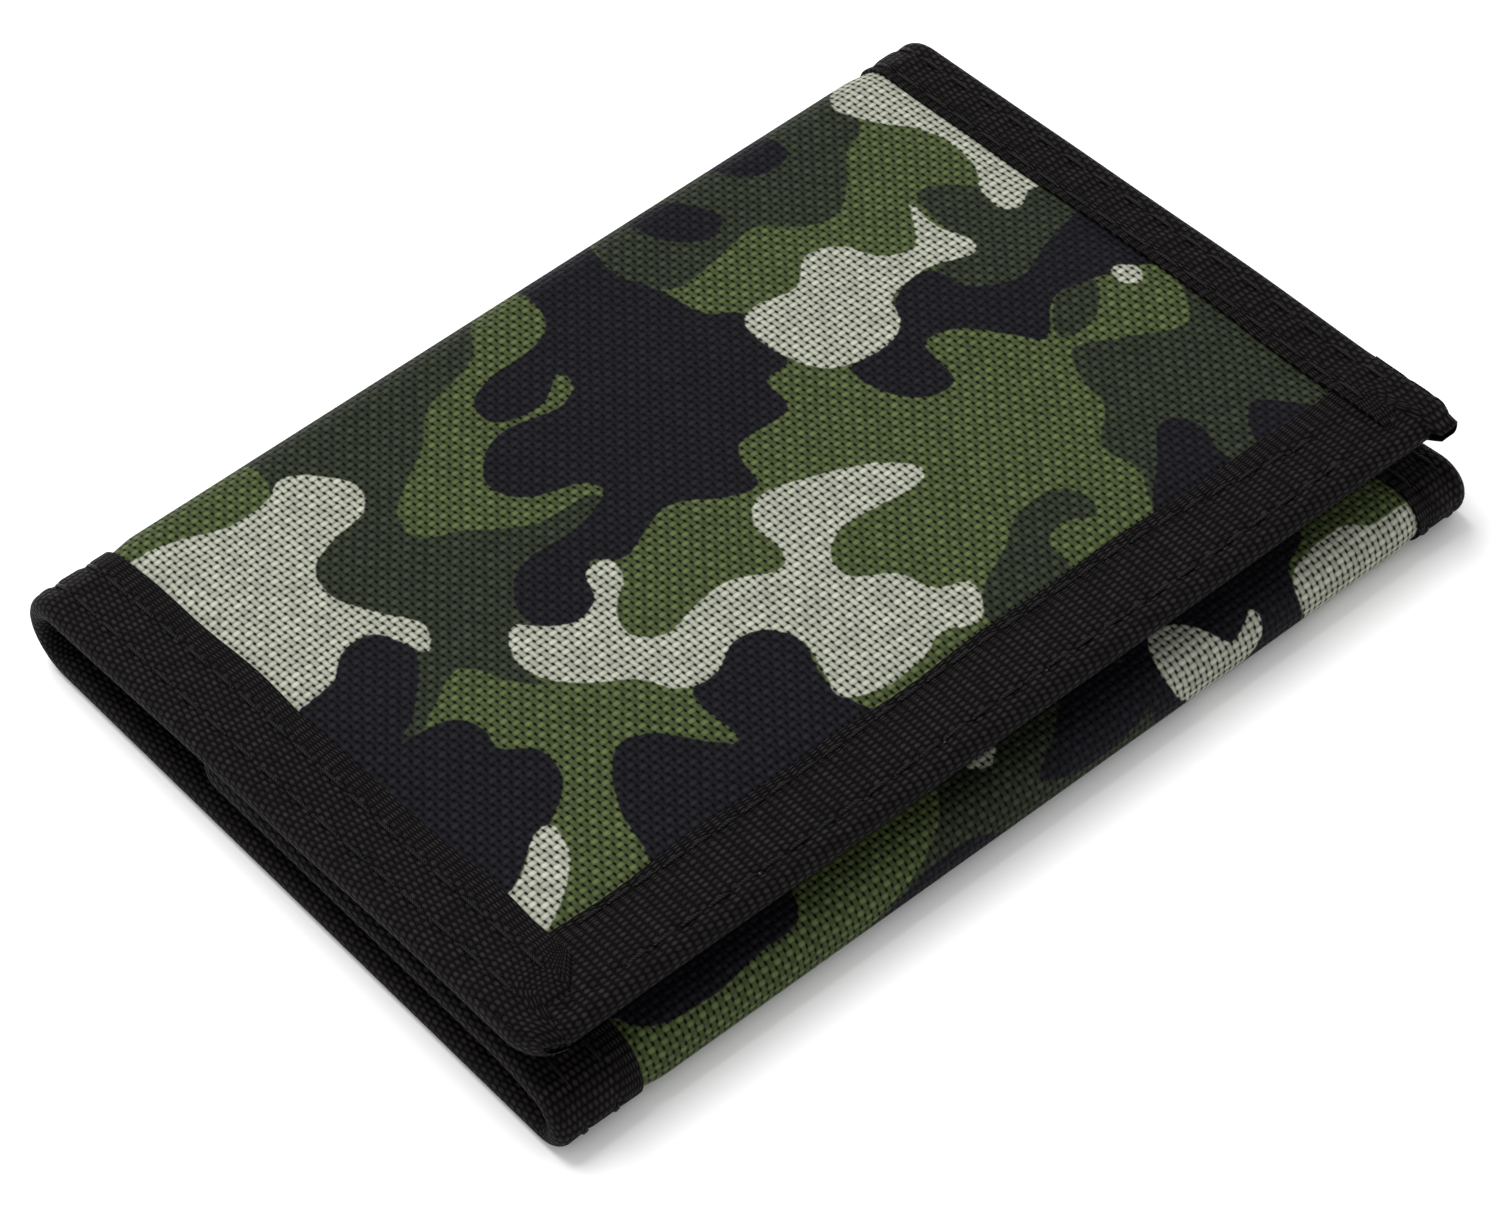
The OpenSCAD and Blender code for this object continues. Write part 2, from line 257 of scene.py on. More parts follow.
lengths = {
    "front": (front_mid, front_edge, "front_fold", "front_flap", front_mid, 0),
    "back_front_half": (back_mid, front_mid, "back_panel", "front_fold", back_start, front_mid),
    "back_inner_half": (inner_mid, back_mid, "back_panel", "inner_fold", back_end, inner_mid),
    "inner": (inner_tip, inner_mid, "inner_fold", "inner_flap", inner_mid, inner_start),
}


def bend_with(piece, length):
    """Only bakes a piece's transform into its mesh. It works out where the fold's quarter starts
    and ends through all of the layers, but does not bend the piece between its two bodies."""
    first_body, second_body, start, end = lengths[length][2:]
    corners = [fold_up(np.array([[u, 0, depth]]))[0]
               for u in (start, end) for depth in (0, stack)]
    across = corners[2] - corners[0]
    across /= np.linalg.norm(across)
    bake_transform(piece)


# The print's outlines on the front flap, in millimetres: u from the fold, and v from
# the wallet's near end
light_print = [
    [(1, 4), (0.6, 12), (2, 17), (4, 21.5), (3.8, 26.5), (2.2, 29.5), (4.5, 32.6), (9, 34.8),
     (12.6, 33), (13.6, 28.5), (15.5, 24.4), (20, 22.9), (25, 24.7), (30.5, 27.4), (34.2, 25.2),
     (31, 24.3), (27.6, 22.6), (27.6, 19), (30.4, 15.5), (30.8, 11), (31, 4)],
    [(67, 3), (65.9, 11), (64.5, 14.3), (61.8, 17.6), (62, 19.8), (66, 18.8), (69.5, 15.6),
     (72.3, 11), (74, 3)],
    [(50.6, 78.8), (52.4, 77), (51.8, 72), (51.4, 67), (54, 63.6), (57.5, 63.6), (60.5, 67.2),
     (64.6, 68.3), (66.7, 71.7), (70, 70.6), (71.5, 68.4), (70, 65), (71.3, 61), (71.4, 55.5),
     (69.4, 51.8), (65.5, 52.8), (60.5, 54), (56.6, 52), (55.9, 48.4), (58, 44.6), (57.2, 40.6),
     (53, 38.2), (49.5, 34), (45.5, 31.3), (41, 31.2), (37.6, 33.8), (40, 36), (42, 39),
     (40.8, 42.3), (37.3, 44), (37.2, 46.8), (40.5, 46.4), (43.6, 43), (47.5, 41.7),
     (50.2, 44.5), (49.2, 48.8), (48.8, 54), (51.3, 58.6), (49.5, 60.7), (44.5, 61),
     (41.6, 64.2), (43.4, 70), (46.8, 76)],
    [(18.2, 105.4), (23, 104.9), (27.6, 106), (29.7, 104.6), (27.8, 99.6), (28.6, 94),
     (32.4, 91.8), (33.9, 88), (32.4, 82.4), (27.5, 79.9), (20.8, 79.7), (18.6, 82.4),
     (19.6, 87.6), (16.4, 91.6), (18, 95.4), (22.6, 97.5), (24, 101.3)],
    [(26.2, 115.8), (27.4, 114), (27.2, 112.4), (25, 111.8), (22.2, 112.4), (19.5, 114.2),
     (16.2, 115), (12.5, 115.1), (9.2, 114.1), (6.6, 112.4), (3.4, 110.8), (0.2, 109.8),
     (-2.4, 111), (-4.4, 112.4), (-9, 110), (-17, 113), (-17, 122), (-2, 124), (14, 122),
     (25, 119)],
    [(42.5, 113.6), (44, 115.8), (46.4, 114.6), (45, 112.7)],
]
dark_print = [
    [(-20, 113), (-9, 109), (-4, 112.6), (0.2, 110.2), (3.4, 110.6), (5.4, 108.8), (6.6, 106),
     (10.5, 102.8), (13.5, 99.2), (13.4, 96.2), (11.2, 93.2), (8.6, 91), (9.2, 86.2), (10, 81.8),
     (9.4, 77.5), (2, 75.2), (-8, 79), (-18, 86)],
    [(18, 109.2), (22, 112.6), (25.6, 113.6), (25, 120), (36, 120), (37, 108), (35.5, 101.8),
     (31, 99.2), (28.4, 101), (29.6, 105.4), (24, 105.4), (18, 106.6)],
    [(48, 120), (54.4, 114), (51, 107), (48.6, 102.4), (53, 99.9), (57.5, 99), (61.8, 94.6),
     (67, 95.2), (71, 93), (78, 92), (78, 122)],
    [(43, 111), (47, 107), (46.6, 102.6), (43.2, 104.2), (41, 108)],
    [(63, 86.8), (66, 88.6), (69, 87.4), (67.2, 84.6), (68.2, 81.4), (73, 80.4), (77, 74),
     (73, 69.5), (68.6, 71.8), (65.6, 77.6), (63, 81.6)],
    [(-9, 61), (0, 57.4), (3, 54.6), (5, 47.6), (9.4, 43.4), (12, 39.6), (15.4, 35.4),
     (20, 34.6), (22.8, 38.8), (27.6, 44.8), (28.4, 51.6), (31.8, 51.5), (36, 46), (40, 34),
     (43, 30.9), (47, 31), (43.5, 28.7), (38.4, 26), (41.5, 20), (44.6, 14), (43, 4), (28, 6),
     (14, 20), (2, 28), (-8, 30), (-15, 45)],
]
black_print = [
    [(-10, 77.4), (2, 75.2), (9, 77), (15.4, 78), (19, 81), (27.6, 79.8), (28.6, 76),
     (33.6, 74.8), (33.8, 68), (37, 66), (40.2, 65.2), (39.4, 61.6), (35.8, 56), (38.5, 48.4),
     (36.2, 45.4), (41, 42.4), (41.8, 37.8), (38.2, 35.4), (33.6, 37), (31, 41), (31.4, 47),
     (29.4, 52.6), (26.4, 52), (23.8, 46.6), (19.4, 44.7), (15.2, 47.6), (13.9, 51.6),
     (15.4, 57.4), (14, 60.6), (11, 60.8), (13.7, 56.6), (12.4, 51.4), (8.4, 51.2), (6.2, 55),
     (5.8, 61.4), (2.6, 65.4), (-9, 66.6), (-16, 70)],
    [(33, 121), (34.2, 112), (36.4, 106), (33.6, 101), (28, 99.4), (29, 94), (33.4, 90.4),
     (33.2, 84), (38, 83.4), (42.8, 86), (43.2, 90.2), (36.8, 91.6), (37.6, 95.6), (43, 99.4),
     (45.6, 101.4), (41.4, 106.4), (43, 113), (45, 121)],
    [(63.4, 101.6), (66.6, 104.2), (71, 103), (78, 102), (78, 90), (72, 92.6), (68, 96.8)],
    [(68, 110.6), (72, 114), (79, 118), (79, 106), (72, 107)],
    [(60, 54), (66, 52.3), (71, 52.4), (80, 55), (80, 24), (70.6, 24.7), (64, 26.6),
     (58.8, 30.6), (59.6, 34.6), (64.8, 38.4), (66.4, 40.8), (58.6, 41.1), (56, 47.2),
     (56.4, 51.8)],
    [(29, 23.6), (33.6, 24.2), (38.4, 20.6), (41.6, 16.6), (42.8, 10), (42, 3), (29, 3),
     (30.4, 14), (27.3, 19.6)],
    [(43.4, 20.6), (47, 22.7), (50.2, 22.2), (53.4, 25.1), (58, 24.4), (61.2, 20.6),
     (62.6, 16.6), (65.8, 11.6), (67, 3), (44, 3), (42.4, 12)],
    [(-4, 82), (1.5, 81.8), (5.4, 84.4), (6.4, 87), (4.4, 89.4), (0.8, 88.2), (-3, 86)],
    [(-6, 94), (-1.2, 94), (1.8, 95.8), (2.8, 98.6), (1.8, 101.4), (-2, 101.6), (-6, 100)],
]
# The inner fold's own outlines: u back from the line where the inner flap leaves it
light_inner = [
    [(-9, 120), (-3, 118), (-2.4, 112.4), (-0.5, 109), (-1.6, 101.6), (-6, 100.4), (-10, 104)],
    [(-8, 92), (-5, 94.8), (-2.2, 94.8), (-4, 90.8), (1, 87.8), (2.3, 84.4), (-2, 82),
     (-6.4, 83), (-10, 87)],
    [(0.4, 60.6), (3.2, 63.2), (6, 60.6), (2.4, 58.4)],
]
dark_inner = [
    [(-20, 84), (-4, 84), (12, 86), (12, 58), (1, 54), (-4, 48), (-7.6, 40), (-14, 32), (-20, 36)],
]
black_inner = [
    [(-20, 101), (-6, 100.2), (-1, 101.4), (2, 106), (11, 106), (11, 86), (3, 80.4), (-6, 79),
     (-12, 82), (-20, 82)],
    [(-5, 78), (1, 80), (3, 74), (-1, 68), (-4, 64), (-6.4, 70)],
    [(-1.4, 33), (4, 35), (11, 30), (11, 12), (-0.4, 12.6), (-2.6, 20), (-1.8, 28)],
    [(-9, 59), (-5, 54), (-5.4, 47), (-8, 42), (-12, 44), (-15, 52)],
]


def smooth_outline(points):
    """A closed curve through the points, with five more between each two."""
    here = np.array(points, float)
    before, after, later = np.roll(here, 1, 0), np.roll(here, -1, 0), np.roll(here, -2, 0)
    curve = [
        here + 0.5 * ((after - before) * t + (2 * before - 5 * here + 4 * after - later) * t ** 2
                      + (3 * here - before - 3 * after + later) * t ** 3)
        for t in np.arange(6) / 6]
    return np.stack(curve, 1).reshape(-1, 2)


def over_the_strip(outlines):
    """The flap's outlines, turned end for end on the back and again on the inner flap."""
    shapes = []
    for outline in map(smooth_outline, outlines):
        shapes += [outline, (-30, 125) - outline, outline - (182, 0)]
    return shapes


def depth_inside(outlines, places):
    """How far inside the nearest outline each place lies, negative outside them all."""
    best = np.full(len(places), -4.0)
    for outline in outlines:
        low, high = outline.min(0) - 2, outline.max(0) + 2
        pick = np.where(((places > low) & (places < high)).all(1))[0]
        if not len(pick):
            continue
        here = places[pick][:, None, :]
        start, run = outline, np.roll(outline, -1, 0) - outline
        share = ((here - start) * run).sum(2) / (run * run).sum(1)
        gap = here - start - np.clip(share, 0, 1)[..., None] * run
        gap = np.sqrt((gap ** 2).sum(2)).min(1)
        end = start + run
        crossing = (start[:, 1] > here[..., 1]) != (end[:, 1] > here[..., 1])
        rise = np.where(run[:, 1] == 0, 1, run[:, 1])
        meets = start[:, 0] + (here[..., 1] - start[:, 1]) * run[:, 0] / rise
        inside = (crossing & (here[..., 0] < meets)).sum(1) % 2 == 1
        best[pick] = np.maximum(best[pick], np.where(inside, gap, -gap))
    return best


def printed_depth(cut, flap_outlines, inner_outlines):
    """One ink over the strip. The inner fold has outlines of its own."""
    waver = 3 * np.sin(cut[:, 1] / 8)
    in_fold = np.minimum(back_end / mm + 7 + waver - cut[:, 0],
                         cut[:, 0] - inner_start / mm + 9 + waver)
    shapes = [(inner_start / mm, 0) + smooth_outline(o) * (-1, 1) for o in inner_outlines]
    return np.where(
        in_fold > 0, np.minimum(depth_inside(shapes, cut), in_fold + 0.4),
        np.minimum(depth_inside(over_the_strip(flap_outlines), cut), 0.4 - in_fold))


def node(tree, kind, inputs, **settings):
    """A node with its settings; each input is a value or another node's output."""
    made = tree.nodes.new(kind)
    for key, value in settings.items():
        setattr(made, key, value)
    for key, value in inputs.items():
        if isinstance(value, bpy.types.NodeSocket):
            tree.links.new(value, made.inputs[key])
        else:
            made.inputs[key].default_value = value
    return made


def calc(tree, operation, *values):
    return node(tree, "ShaderNodeMath", dict(enumerate(values)), operation=operation).outputs[0]


def rise(tree, value, low, high, start=0.0, end=1.0):
    """A smooth ramp from start to end as the value goes from low to high."""
    return node(tree, "ShaderNodeMapRange",
                {"Value": value, "From Min": low, "From Max": high, "To Min": start, "To Max": end},
                interpolation_type="SMOOTHSTEP").outputs[0]


def blend_colour(tree, share, first, second):
    return node(tree, "ShaderNodeMix", {0: share, 6: first, 7: second},
                data_type="RGBA").outputs[2]


def noise(tree, where, scale, detail=2.0):
    return node(tree, "ShaderNodeTexNoise", {"Vector": where, "Scale": scale, "Detail": detail})


def effect(name, inputs, outputs):
    """A node group for a finish that several cloths share."""
    group = bpy.data.node_groups.new(name, "ShaderNodeTree")
    for key, start in inputs.items():
        kind = "NodeSocketVector" if start is None else "NodeSocketFloat"
        socket = group.interface.new_socket(key, in_out="INPUT", socket_type=kind)
        if start is not None:
            socket.default_value = start
    for key in outputs:
        group.interface.new_socket(key, in_out="OUTPUT", socket_type="NodeSocketFloat")
    return group, group.nodes.new("NodeGroupInput"), group.nodes.new("NodeGroupOutput")


# Plain weave: each yarn goes over one and under the next, and where four yarns meet a
# small hole is left. Height is 0 to 1, Hole is 1 in a hole, Yarn tells one from the next.
plain_weave, given, result = effect(
    "plain_weave", {"Cloth": None, "Warp Pitch": 1.05, "Weft Pitch": 0.81, "Stray": 0.5},
    ("Height", "Hole", "Yarn", "Over"))
stray = noise(plain_weave, given.outputs["Cloth"], 0.12, 1.0).outputs["Color"]
centred = node(plain_weave, "ShaderNodeVectorMath", {0: stray, 1: (0.5, 0.5, 0.5)},
               operation="SUBTRACT").outputs[0]
shift = node(plain_weave, "ShaderNodeVectorMath", {0: centred, "Scale": given.outputs["Stray"]},
             operation="SCALE").outputs[0]
strayed = node(plain_weave, "ShaderNodeVectorMath", {0: given.outputs["Cloth"], 1: shift},
               operation="ADD").outputs[0]
across = node(plain_weave, "ShaderNodeSeparateXYZ", {0: strayed})
warp_at = calc(plain_weave, "DIVIDE", across.outputs[0], given.outputs["Warp Pitch"])
weft_at = calc(plain_weave, "DIVIDE", across.outputs[1], given.outputs["Weft Pitch"])
warp_wave = calc(plain_weave, "SINE", calc(plain_weave, "MULTIPLY", warp_at, math.pi))
weft_wave = calc(plain_weave, "SINE", calc(plain_weave, "MULTIPLY", weft_at, math.pi))
warp_round = calc(plain_weave, "ABSOLUTE", warp_wave)
weft_round = calc(plain_weave, "ABSOLUTE", weft_wave)
checker = calc(plain_weave, "MULTIPLY", warp_wave, weft_wave)
plain_weave.links.new(checker, result.inputs["Over"])
over = calc(plain_weave, "MULTIPLY", checker, 0.45)
warp_top = calc(plain_weave, "ADD", calc(plain_weave, "POWER", warp_round, 0.6), over)
weft_top = calc(plain_weave, "SUBTRACT", calc(plain_weave, "POWER", weft_round, 0.6), over)
top = calc(plain_weave, "DIVIDE", calc(plain_weave, "SMOOTH_MAX", warp_top, weft_top, 0.15), 1.5)
plain_weave.links.new(top, result.inputs["Height"])
from_hole = calc(
    plain_weave, "ADD",
    calc(plain_weave, "POWER", calc(plain_weave, "DIVIDE", warp_round, 0.84), 2.0),
    calc(plain_weave, "POWER", calc(plain_weave, "DIVIDE", weft_round, 0.58), 2.0))
plain_weave.links.new(rise(plain_weave, from_hole, 0.45, 1.25, 1.0, 0.0), result.inputs["Hole"])
crossing = node(plain_weave, "ShaderNodeCombineXYZ", {
    0: calc(plain_weave, "FLOOR", warp_at), 1: calc(plain_weave, "FLOOR", weft_at)}).outputs[0]
plain_weave.links.new(
    node(plain_weave, "ShaderNodeTexWhiteNoise", {"Vector": crossing},
         noise_dimensions="2D").outputs["Value"], result.inputs["Yarn"])


def cloth_finish(name, roughness, gloss):
    """A cloth's shader and its UV map, ready for the cloth's own nodes."""
    finish = bpy.data.materials.new(name)
    finish.use_nodes = True
    shader = finish.node_tree.nodes["Principled BSDF"]
    shader.inputs["Roughness"].default_value = roughness
    shader.inputs["Specular IOR Level"].default_value = gloss
    pattern = finish.node_tree.nodes.new("ShaderNodeUVMap")
    pattern.uv_map = "cloth"
    return finish, finish.node_tree, shader, pattern.outputs[0]


def raise_bump(tree, shader, height, distance, strength=1.0):
    bump = node(tree, "ShaderNodeBump",
                {"Height": height, "Distance": distance, "Strength": strength})
    tree.links.new(bump.outputs[0], shader.inputs["Normal"])


camouflage, tree, shader, cloth = cloth_finish("printed_canvas", 0.7, 0.05)
weave = node(tree, "ShaderNodeGroup", {"Cloth": cloth, "Warp Pitch": 1.05, "Weft Pitch": 0.81,
                                       "Stray": 0.5}, node_tree=plain_weave)
# Each ink bleeds a little along the yarns, and ends in a slightly ragged line
ragged = calc(tree, "SUBTRACT", noise(tree, cloth, 1.3).outputs["Fac"], 0.5)
bleed = calc(tree, "MULTIPLY", ragged, 0.5)
ink = (0.0550, 0.0735, 0.0260, 1)
for layer, colour in (
        ("dark_ink", (0.0210, 0.0262, 0.0155, 1)),
        ("black_ink", (0.0066, 0.0064, 0.0094, 1)),
        ("light_ink", (0.298, 0.311, 0.249, 1))):
    inside = node(tree, "ShaderNodeAttribute", {}, attribute_name=layer).outputs["Fac"]
    printed = rise(tree, calc(tree, "ADD", inside, bleed), -0.15, 0.15)
    ink = blend_colour(tree, printed, ink, colour)
faded = noise(tree, cloth, 0.35, 3.0).outputs["Fac"]
shade = calc(tree, "MULTIPLY", rise(tree, faded, 0.3, 0.7, 0.90, 1.06),
             rise(tree, weave.outputs["Yarn"], 0.0, 1.0, 0.88, 1.08))
# Painted shade: the colour is darkened in the low places between the yarns, and much more in the
# holes where four yarns meet
shade = calc(tree, "MULTIPLY", shade, rise(tree, weave.outputs["Height"], 0.35, 0.9, 0.42, 1.14))
shade = calc(tree, "MULTIPLY", shade, rise(tree, weave.outputs["Hole"], 0.0, 1.0, 1.0, 0.09))
# Painted light: at each crossing the yarn lying on top is made lighter and the one underneath
# darker, in a checkerboard; this stands out less where the yarns carry the light ink, which is the
# last one
raised = node(tree, "ShaderNodeMix", {0: printed, 2: 0.34, 3: 0.08}).outputs[0]
raised = calc(tree, "MULTIPLY_ADD", weave.outputs["Over"], raised, 1.0)
shade = calc(tree, "MULTIPLY", shade, raised)
# The canvas colour: each ink times its random tone, and times the painted shade and painted
# highlight of the weave
weave_shaded_ink = node(tree, "ShaderNodeVectorMath", {0: ink, "Scale": shade}, operation="SCALE").outputs[0]
tree.links.new(weave_shaded_ink, shader.inputs["Base Color"])
fibres = noise(tree, cloth, 9.0, 2.0).outputs["Fac"]
tree.links.new(rise(tree, fibres, 0.2, 0.8, 0.45, 0.75), shader.inputs["Roughness"])
relief = calc(tree, "ADD", weave.outputs["Height"], calc(tree, "MULTIPLY", fibres, 0.12))
raise_bump(tree, shader, relief, 0.30 * mm)

canvas_depth = 0.08 * mm
canvas_thickness = 0.5 * mm
canvas_sink = 0.42 * mm
held_far = 7.5 * mm
held_elsewhere = 10.9 * mm


def under_the_binding(flat):
    """Sinks the canvas towards the binding that holds it at the ends and free edges."""
    from_edge = np.minimum.reduce([
        half_length - np.abs(flat[:, 1]), front_edge - flat[:, 0], flat[:, 0] - inner_tip])
    held = np.where(flat[:, 1] > 40 * mm, held_far, held_elsewhere)
    flat[:, 2] += canvas_sink * (1 - ease(from_edge, held - 1 * mm, held + 3 * mm))
    return flat


canvas_hem = 1.5 * mm
replaced_canvas = {
    "front": ["front_canvas"], "back_front_half": ["back_canvas", "front_fold_canvas"],
    "back_inner_half": ["inner_fold_canvas"], "inner": ["inner_canvas"],
}
for length, nodes in replaced_canvas.items():
    u0, u1 = lengths[length][:2]
    u0 = max(u0, inner_tip + canvas_hem)
    u1 = min(u1, front_edge - canvas_hem)
    v1 = half_length - canvas_hem
    shape = flat_cloth(u0, u1, -v1, v1, canvas_depth, canvas_depth + canvas_thickness, 0.8 * mm)
    flat = under_the_binding(places_in(shape))
    cut = flat[:, :2] / mm + (0, half_length / mm)
    canvas = sew("canvas_" + length, shape, camouflage, flat)
    for ink_name, outlines in (
            ("light_ink", (light_print, light_inner)), ("dark_ink", (dark_print, dark_inner)),
            ("black_ink", (black_print, black_inner))):
        layer = canvas.data.attributes.new(ink_name, "FLOAT", "POINT")
        layer.data.foreach_set("value", printed_depth(cut, *outlines).astype(np.float32))
    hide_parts(*nodes)
    bend_with(canvas, length)

# ---------------------------------------------------------------- edge binding
# Ribbed polyester tape, 25 mm wide, folded over the edges of canvas and lining and sewn
# through with two rows of black thread. The tape of the free edge is sewn on before the
# two along the ends, which lap over it at the corners.
tape_thickness = 0.45 * mm
tape_half = 12.8 * mm
tape_width = 12 * mm

ribbed_weave, given, result = effect(
    "ribbed_weave", {"Cloth": None, "Rib": 1.05, "Bead": 0.8}, ("Height", "Bead"))
across = node(ribbed_weave, "ShaderNodeSeparateXYZ", {0: given.outputs["Cloth"]})
rib_at = calc(ribbed_weave, "DIVIDE", across.outputs[0], given.outputs["Rib"])
rib_number = calc(ribbed_weave, "FLOOR", rib_at)
bead_at = calc(
    ribbed_weave, "ADD", calc(ribbed_weave, "DIVIDE", across.outputs[1], given.outputs["Bead"]),
    calc(ribbed_weave, "MULTIPLY", rib_number, 0.5))
bead_number = calc(ribbed_weave, "FLOOR", bead_at)
bead_height = []
for at in (rib_at, bead_at):
    off = calc(ribbed_weave, "SUBTRACT", calc(ribbed_weave, "FRACT", at), 0.5)
    squared = calc(ribbed_weave, "MULTIPLY", off, off)
    bead_height.append(calc(ribbed_weave, "MULTIPLY", squared, 4.0))
dome = calc(ribbed_weave, "SUBTRACT", 1.0, calc(ribbed_weave, "ADD", *bead_height))
ribbed_weave.links.new(
    calc(ribbed_weave, "SQRT", calc(ribbed_weave, "MAXIMUM", dome, 0.0)), result.inputs["Height"])
bead_cell = node(ribbed_weave, "ShaderNodeCombineXYZ", {0: rib_number, 1: bead_number}).outputs[0]
ribbed_weave.links.new(
    node(ribbed_weave, "ShaderNodeTexWhiteNoise", {"Vector": bead_cell},
         noise_dimensions="2D").outputs["Value"], result.inputs["Bead"])


def finish_from(tree, shader, share, dark, pale, worn, rough, relief, height):
    """Colours a finish from dark to pale, and gives it its roughness and its relief."""
    tree.links.new(blend_colour(tree, share, dark, pale), shader.inputs["Base Color"])
    tree.links.new(rise(tree, worn, *rough), shader.inputs["Roughness"])
    raise_bump(tree, shader, relief, height)


def tape_finish(name, dark, pale, selvedge):
    """Ribbed tape. Further than the selvedge from its middle it is woven finer."""
    finish, tree, shader, cloth = cloth_finish(name, 0.62, 0.05)
    body = node(tree, "ShaderNodeGroup", {"Cloth": cloth, "Rib": 1.0, "Bead": 0.68},
                node_tree=ribbed_weave)
    edge = node(tree, "ShaderNodeGroup", {"Cloth": cloth, "Rib": 1.0, "Bead": 0.36},
                node_tree=ribbed_weave)
    from_middle = calc(tree, "ABSOLUTE", node(tree, "ShaderNodeSeparateXYZ",
                                              {0: cloth}).outputs[1])
    at_edge = rise(tree, from_middle, selvedge, selvedge + 0.15)
    height = node(tree, "ShaderNodeMix", {0: at_edge, 2: body.outputs["Height"],
                                          3: edge.outputs["Height"]}).outputs[0]
    worn = noise(tree, cloth, 0.4, 3.0).outputs["Fac"]
    # Painted highlight: the tape's colour goes from dark to pale only on the tops of the beads, a
    # little dimmer on some beads and in patches at random
    lit = calc(tree, "POWER", height, 2.7)
    lit = calc(tree, "MULTIPLY", lit, rise(tree, body.outputs["Bead"], 0.0, 1.0, 0.55, 1.0))
    lit = calc(tree, "MULTIPLY", lit, rise(tree, worn, 0.3, 0.75, 0.7, 1.0))
    fibres = noise(tree, cloth, 10.0).outputs["Fac"]
    relief = calc(tree, "ADD", height, calc(tree, "MULTIPLY", fibres, 0.15))
    finish_from(tree, shader, lit, dark, pale, fibres, (0.2, 0.8, 0.5, 0.75), relief, 0.28 * mm)
    return finish


# Its pale colour is the painted highlight on the tops of the beads
binding_finish = tape_finish("ribbed_binding", (0.0008, 0.0006, 0.0006, 1),
                             (0.0240, 0.0192, 0.0198, 1), 10.4)

thread_finish, tree, shader, cloth = cloth_finish("black_thread", 0.45, 0.1)
twist_and_highlight = node(tree, "ShaderNodeTexWave", {"Vector": cloth, "Scale": 1.6, "Distortion": 0.6},
            bands_direction="DIAGONAL").outputs["Fac"]
# Painted highlight: the thread's colour is paler along the ridges of its twist, the same bands that
# raise its relief
tree.links.new(blend_colour(tree, twist_and_highlight, (0.0015, 0.0015, 0.0015, 1), (0.0085, 0.0078, 0.0080, 1)),
               shader.inputs["Base Color"])
raise_bump(tree, shader, twist_and_highlight, 0.06 * mm)

# For each row, its distance from the bound edge and its stitch length, in millimetres
stitch_rows = {
    "near": ((7.6, 4.8), (3.4, 4.8)),
    "far": ((6.2, 4.8), (2.4, 4.8)),
    "edge": ((10.0, 3.5), (2.8, 3.5)),
}


def row_distance(kind, row, along):
    """A stitch row's distance from the bound edge; rows wander as a sewn line does."""
    start = stitch_rows[kind][row][0] * mm
    if kind == "edge" and row == 0:
        start = start - 3.2 * mm * ease(along, 20 * mm, 60 * mm)
    return start + 0.12 * mm * np.sin(along / (13 * mm) + row * 2.1)


def edge_wave(along, way):
    """The slight waver of a tape's inner edges."""
    return 0.22 * mm * np.sin(along / (7.3 * mm) + way) + 0.16 * mm * np.sin(along / (3.1 * mm))


def outer_share(outer_width):
    """How much shorter than the inner leg the outer leg is cut."""
    return (outer_width - stack / 2) / (tape_width - stack / 2)


def cut_pattern(tape, outer_width):
    """The tape's own places once its outer leg is cut to width, for its weave."""
    leg = np.minimum(tape[:, 1] + stack * np.pi / 4, 0)
    pattern = tape.copy()
    pattern[:, 1] += leg * (outer_share(outer_width) - 1) - (tape_width - outer_width)
    return pattern


def fold_over(along, across, depth, kind, thick, outer_width):
    """Folds a flat tape over an edge. Gives the distance from the edge, and the depth."""
    radius = thick / 2
    turned = np.clip(across / radius, -np.pi / 2, np.pi / 2)
    leg = np.maximum(np.abs(across) - radius * np.pi / 2, 0)
    leg = leg * np.where(across < 0, outer_share(outer_width), 1)
    distance = radius - (radius - depth) * np.cos(turned) + leg
    distance += edge_wave(along, np.sign(across)) * ease(leg, 4 * mm, 10 * mm)
    level = radius + (radius - depth) * np.sin(turned)
    # The thread pulls a groove along each row and a pit at each stitch's ends, and the
    # tape puffs up between the pits along its folded edge
    out = -np.sin(turned)
    pull = np.zeros(len(along))
    for row, (_, pitch) in enumerate(stitch_rows[kind]):
        gap = np.abs(distance - row_distance(kind, row, along))
        groove = np.exp(-(gap / (0.5 * mm)) ** 2)
        step = (along / mm) % pitch
        hole = np.minimum(step, pitch - step)
        pit = np.exp(-(hole / 0.55) ** 2) * np.exp(-(gap / (0.55 * mm)) ** 2)
        pull += 0.13 * mm * groove + 0.31 * mm * pit
    puff = 0.14 * mm * np.cos(along / (4.8 * mm) * 2 * np.pi) * np.exp(-(leg / (6 * mm)) ** 2)
    pull -= puff * ease(leg, 0, 1 * mm)
    level = level + out * pull * ease(np.abs(np.sin(turned)), 0.6, 1.0)
    return distance, level


def flat_tape(start, end, step=0.6 * mm):
    """A closed flat tape; its places are (along, across, -depth)."""
    shape = bmesh.new()
    bmesh.ops.create_grid(shape, x_segments=round((end - start) / step), y_segments=60, size=0.5)
    bmesh.ops.scale(shape, vec=(end - start, 2 * tape_half, 1), verts=shape.verts)
    bmesh.ops.translate(shape, vec=((start + end) / 2, 0, -tape_thickness), verts=shape.verts)
    thicken(shape, tape_thickness)
    return shape


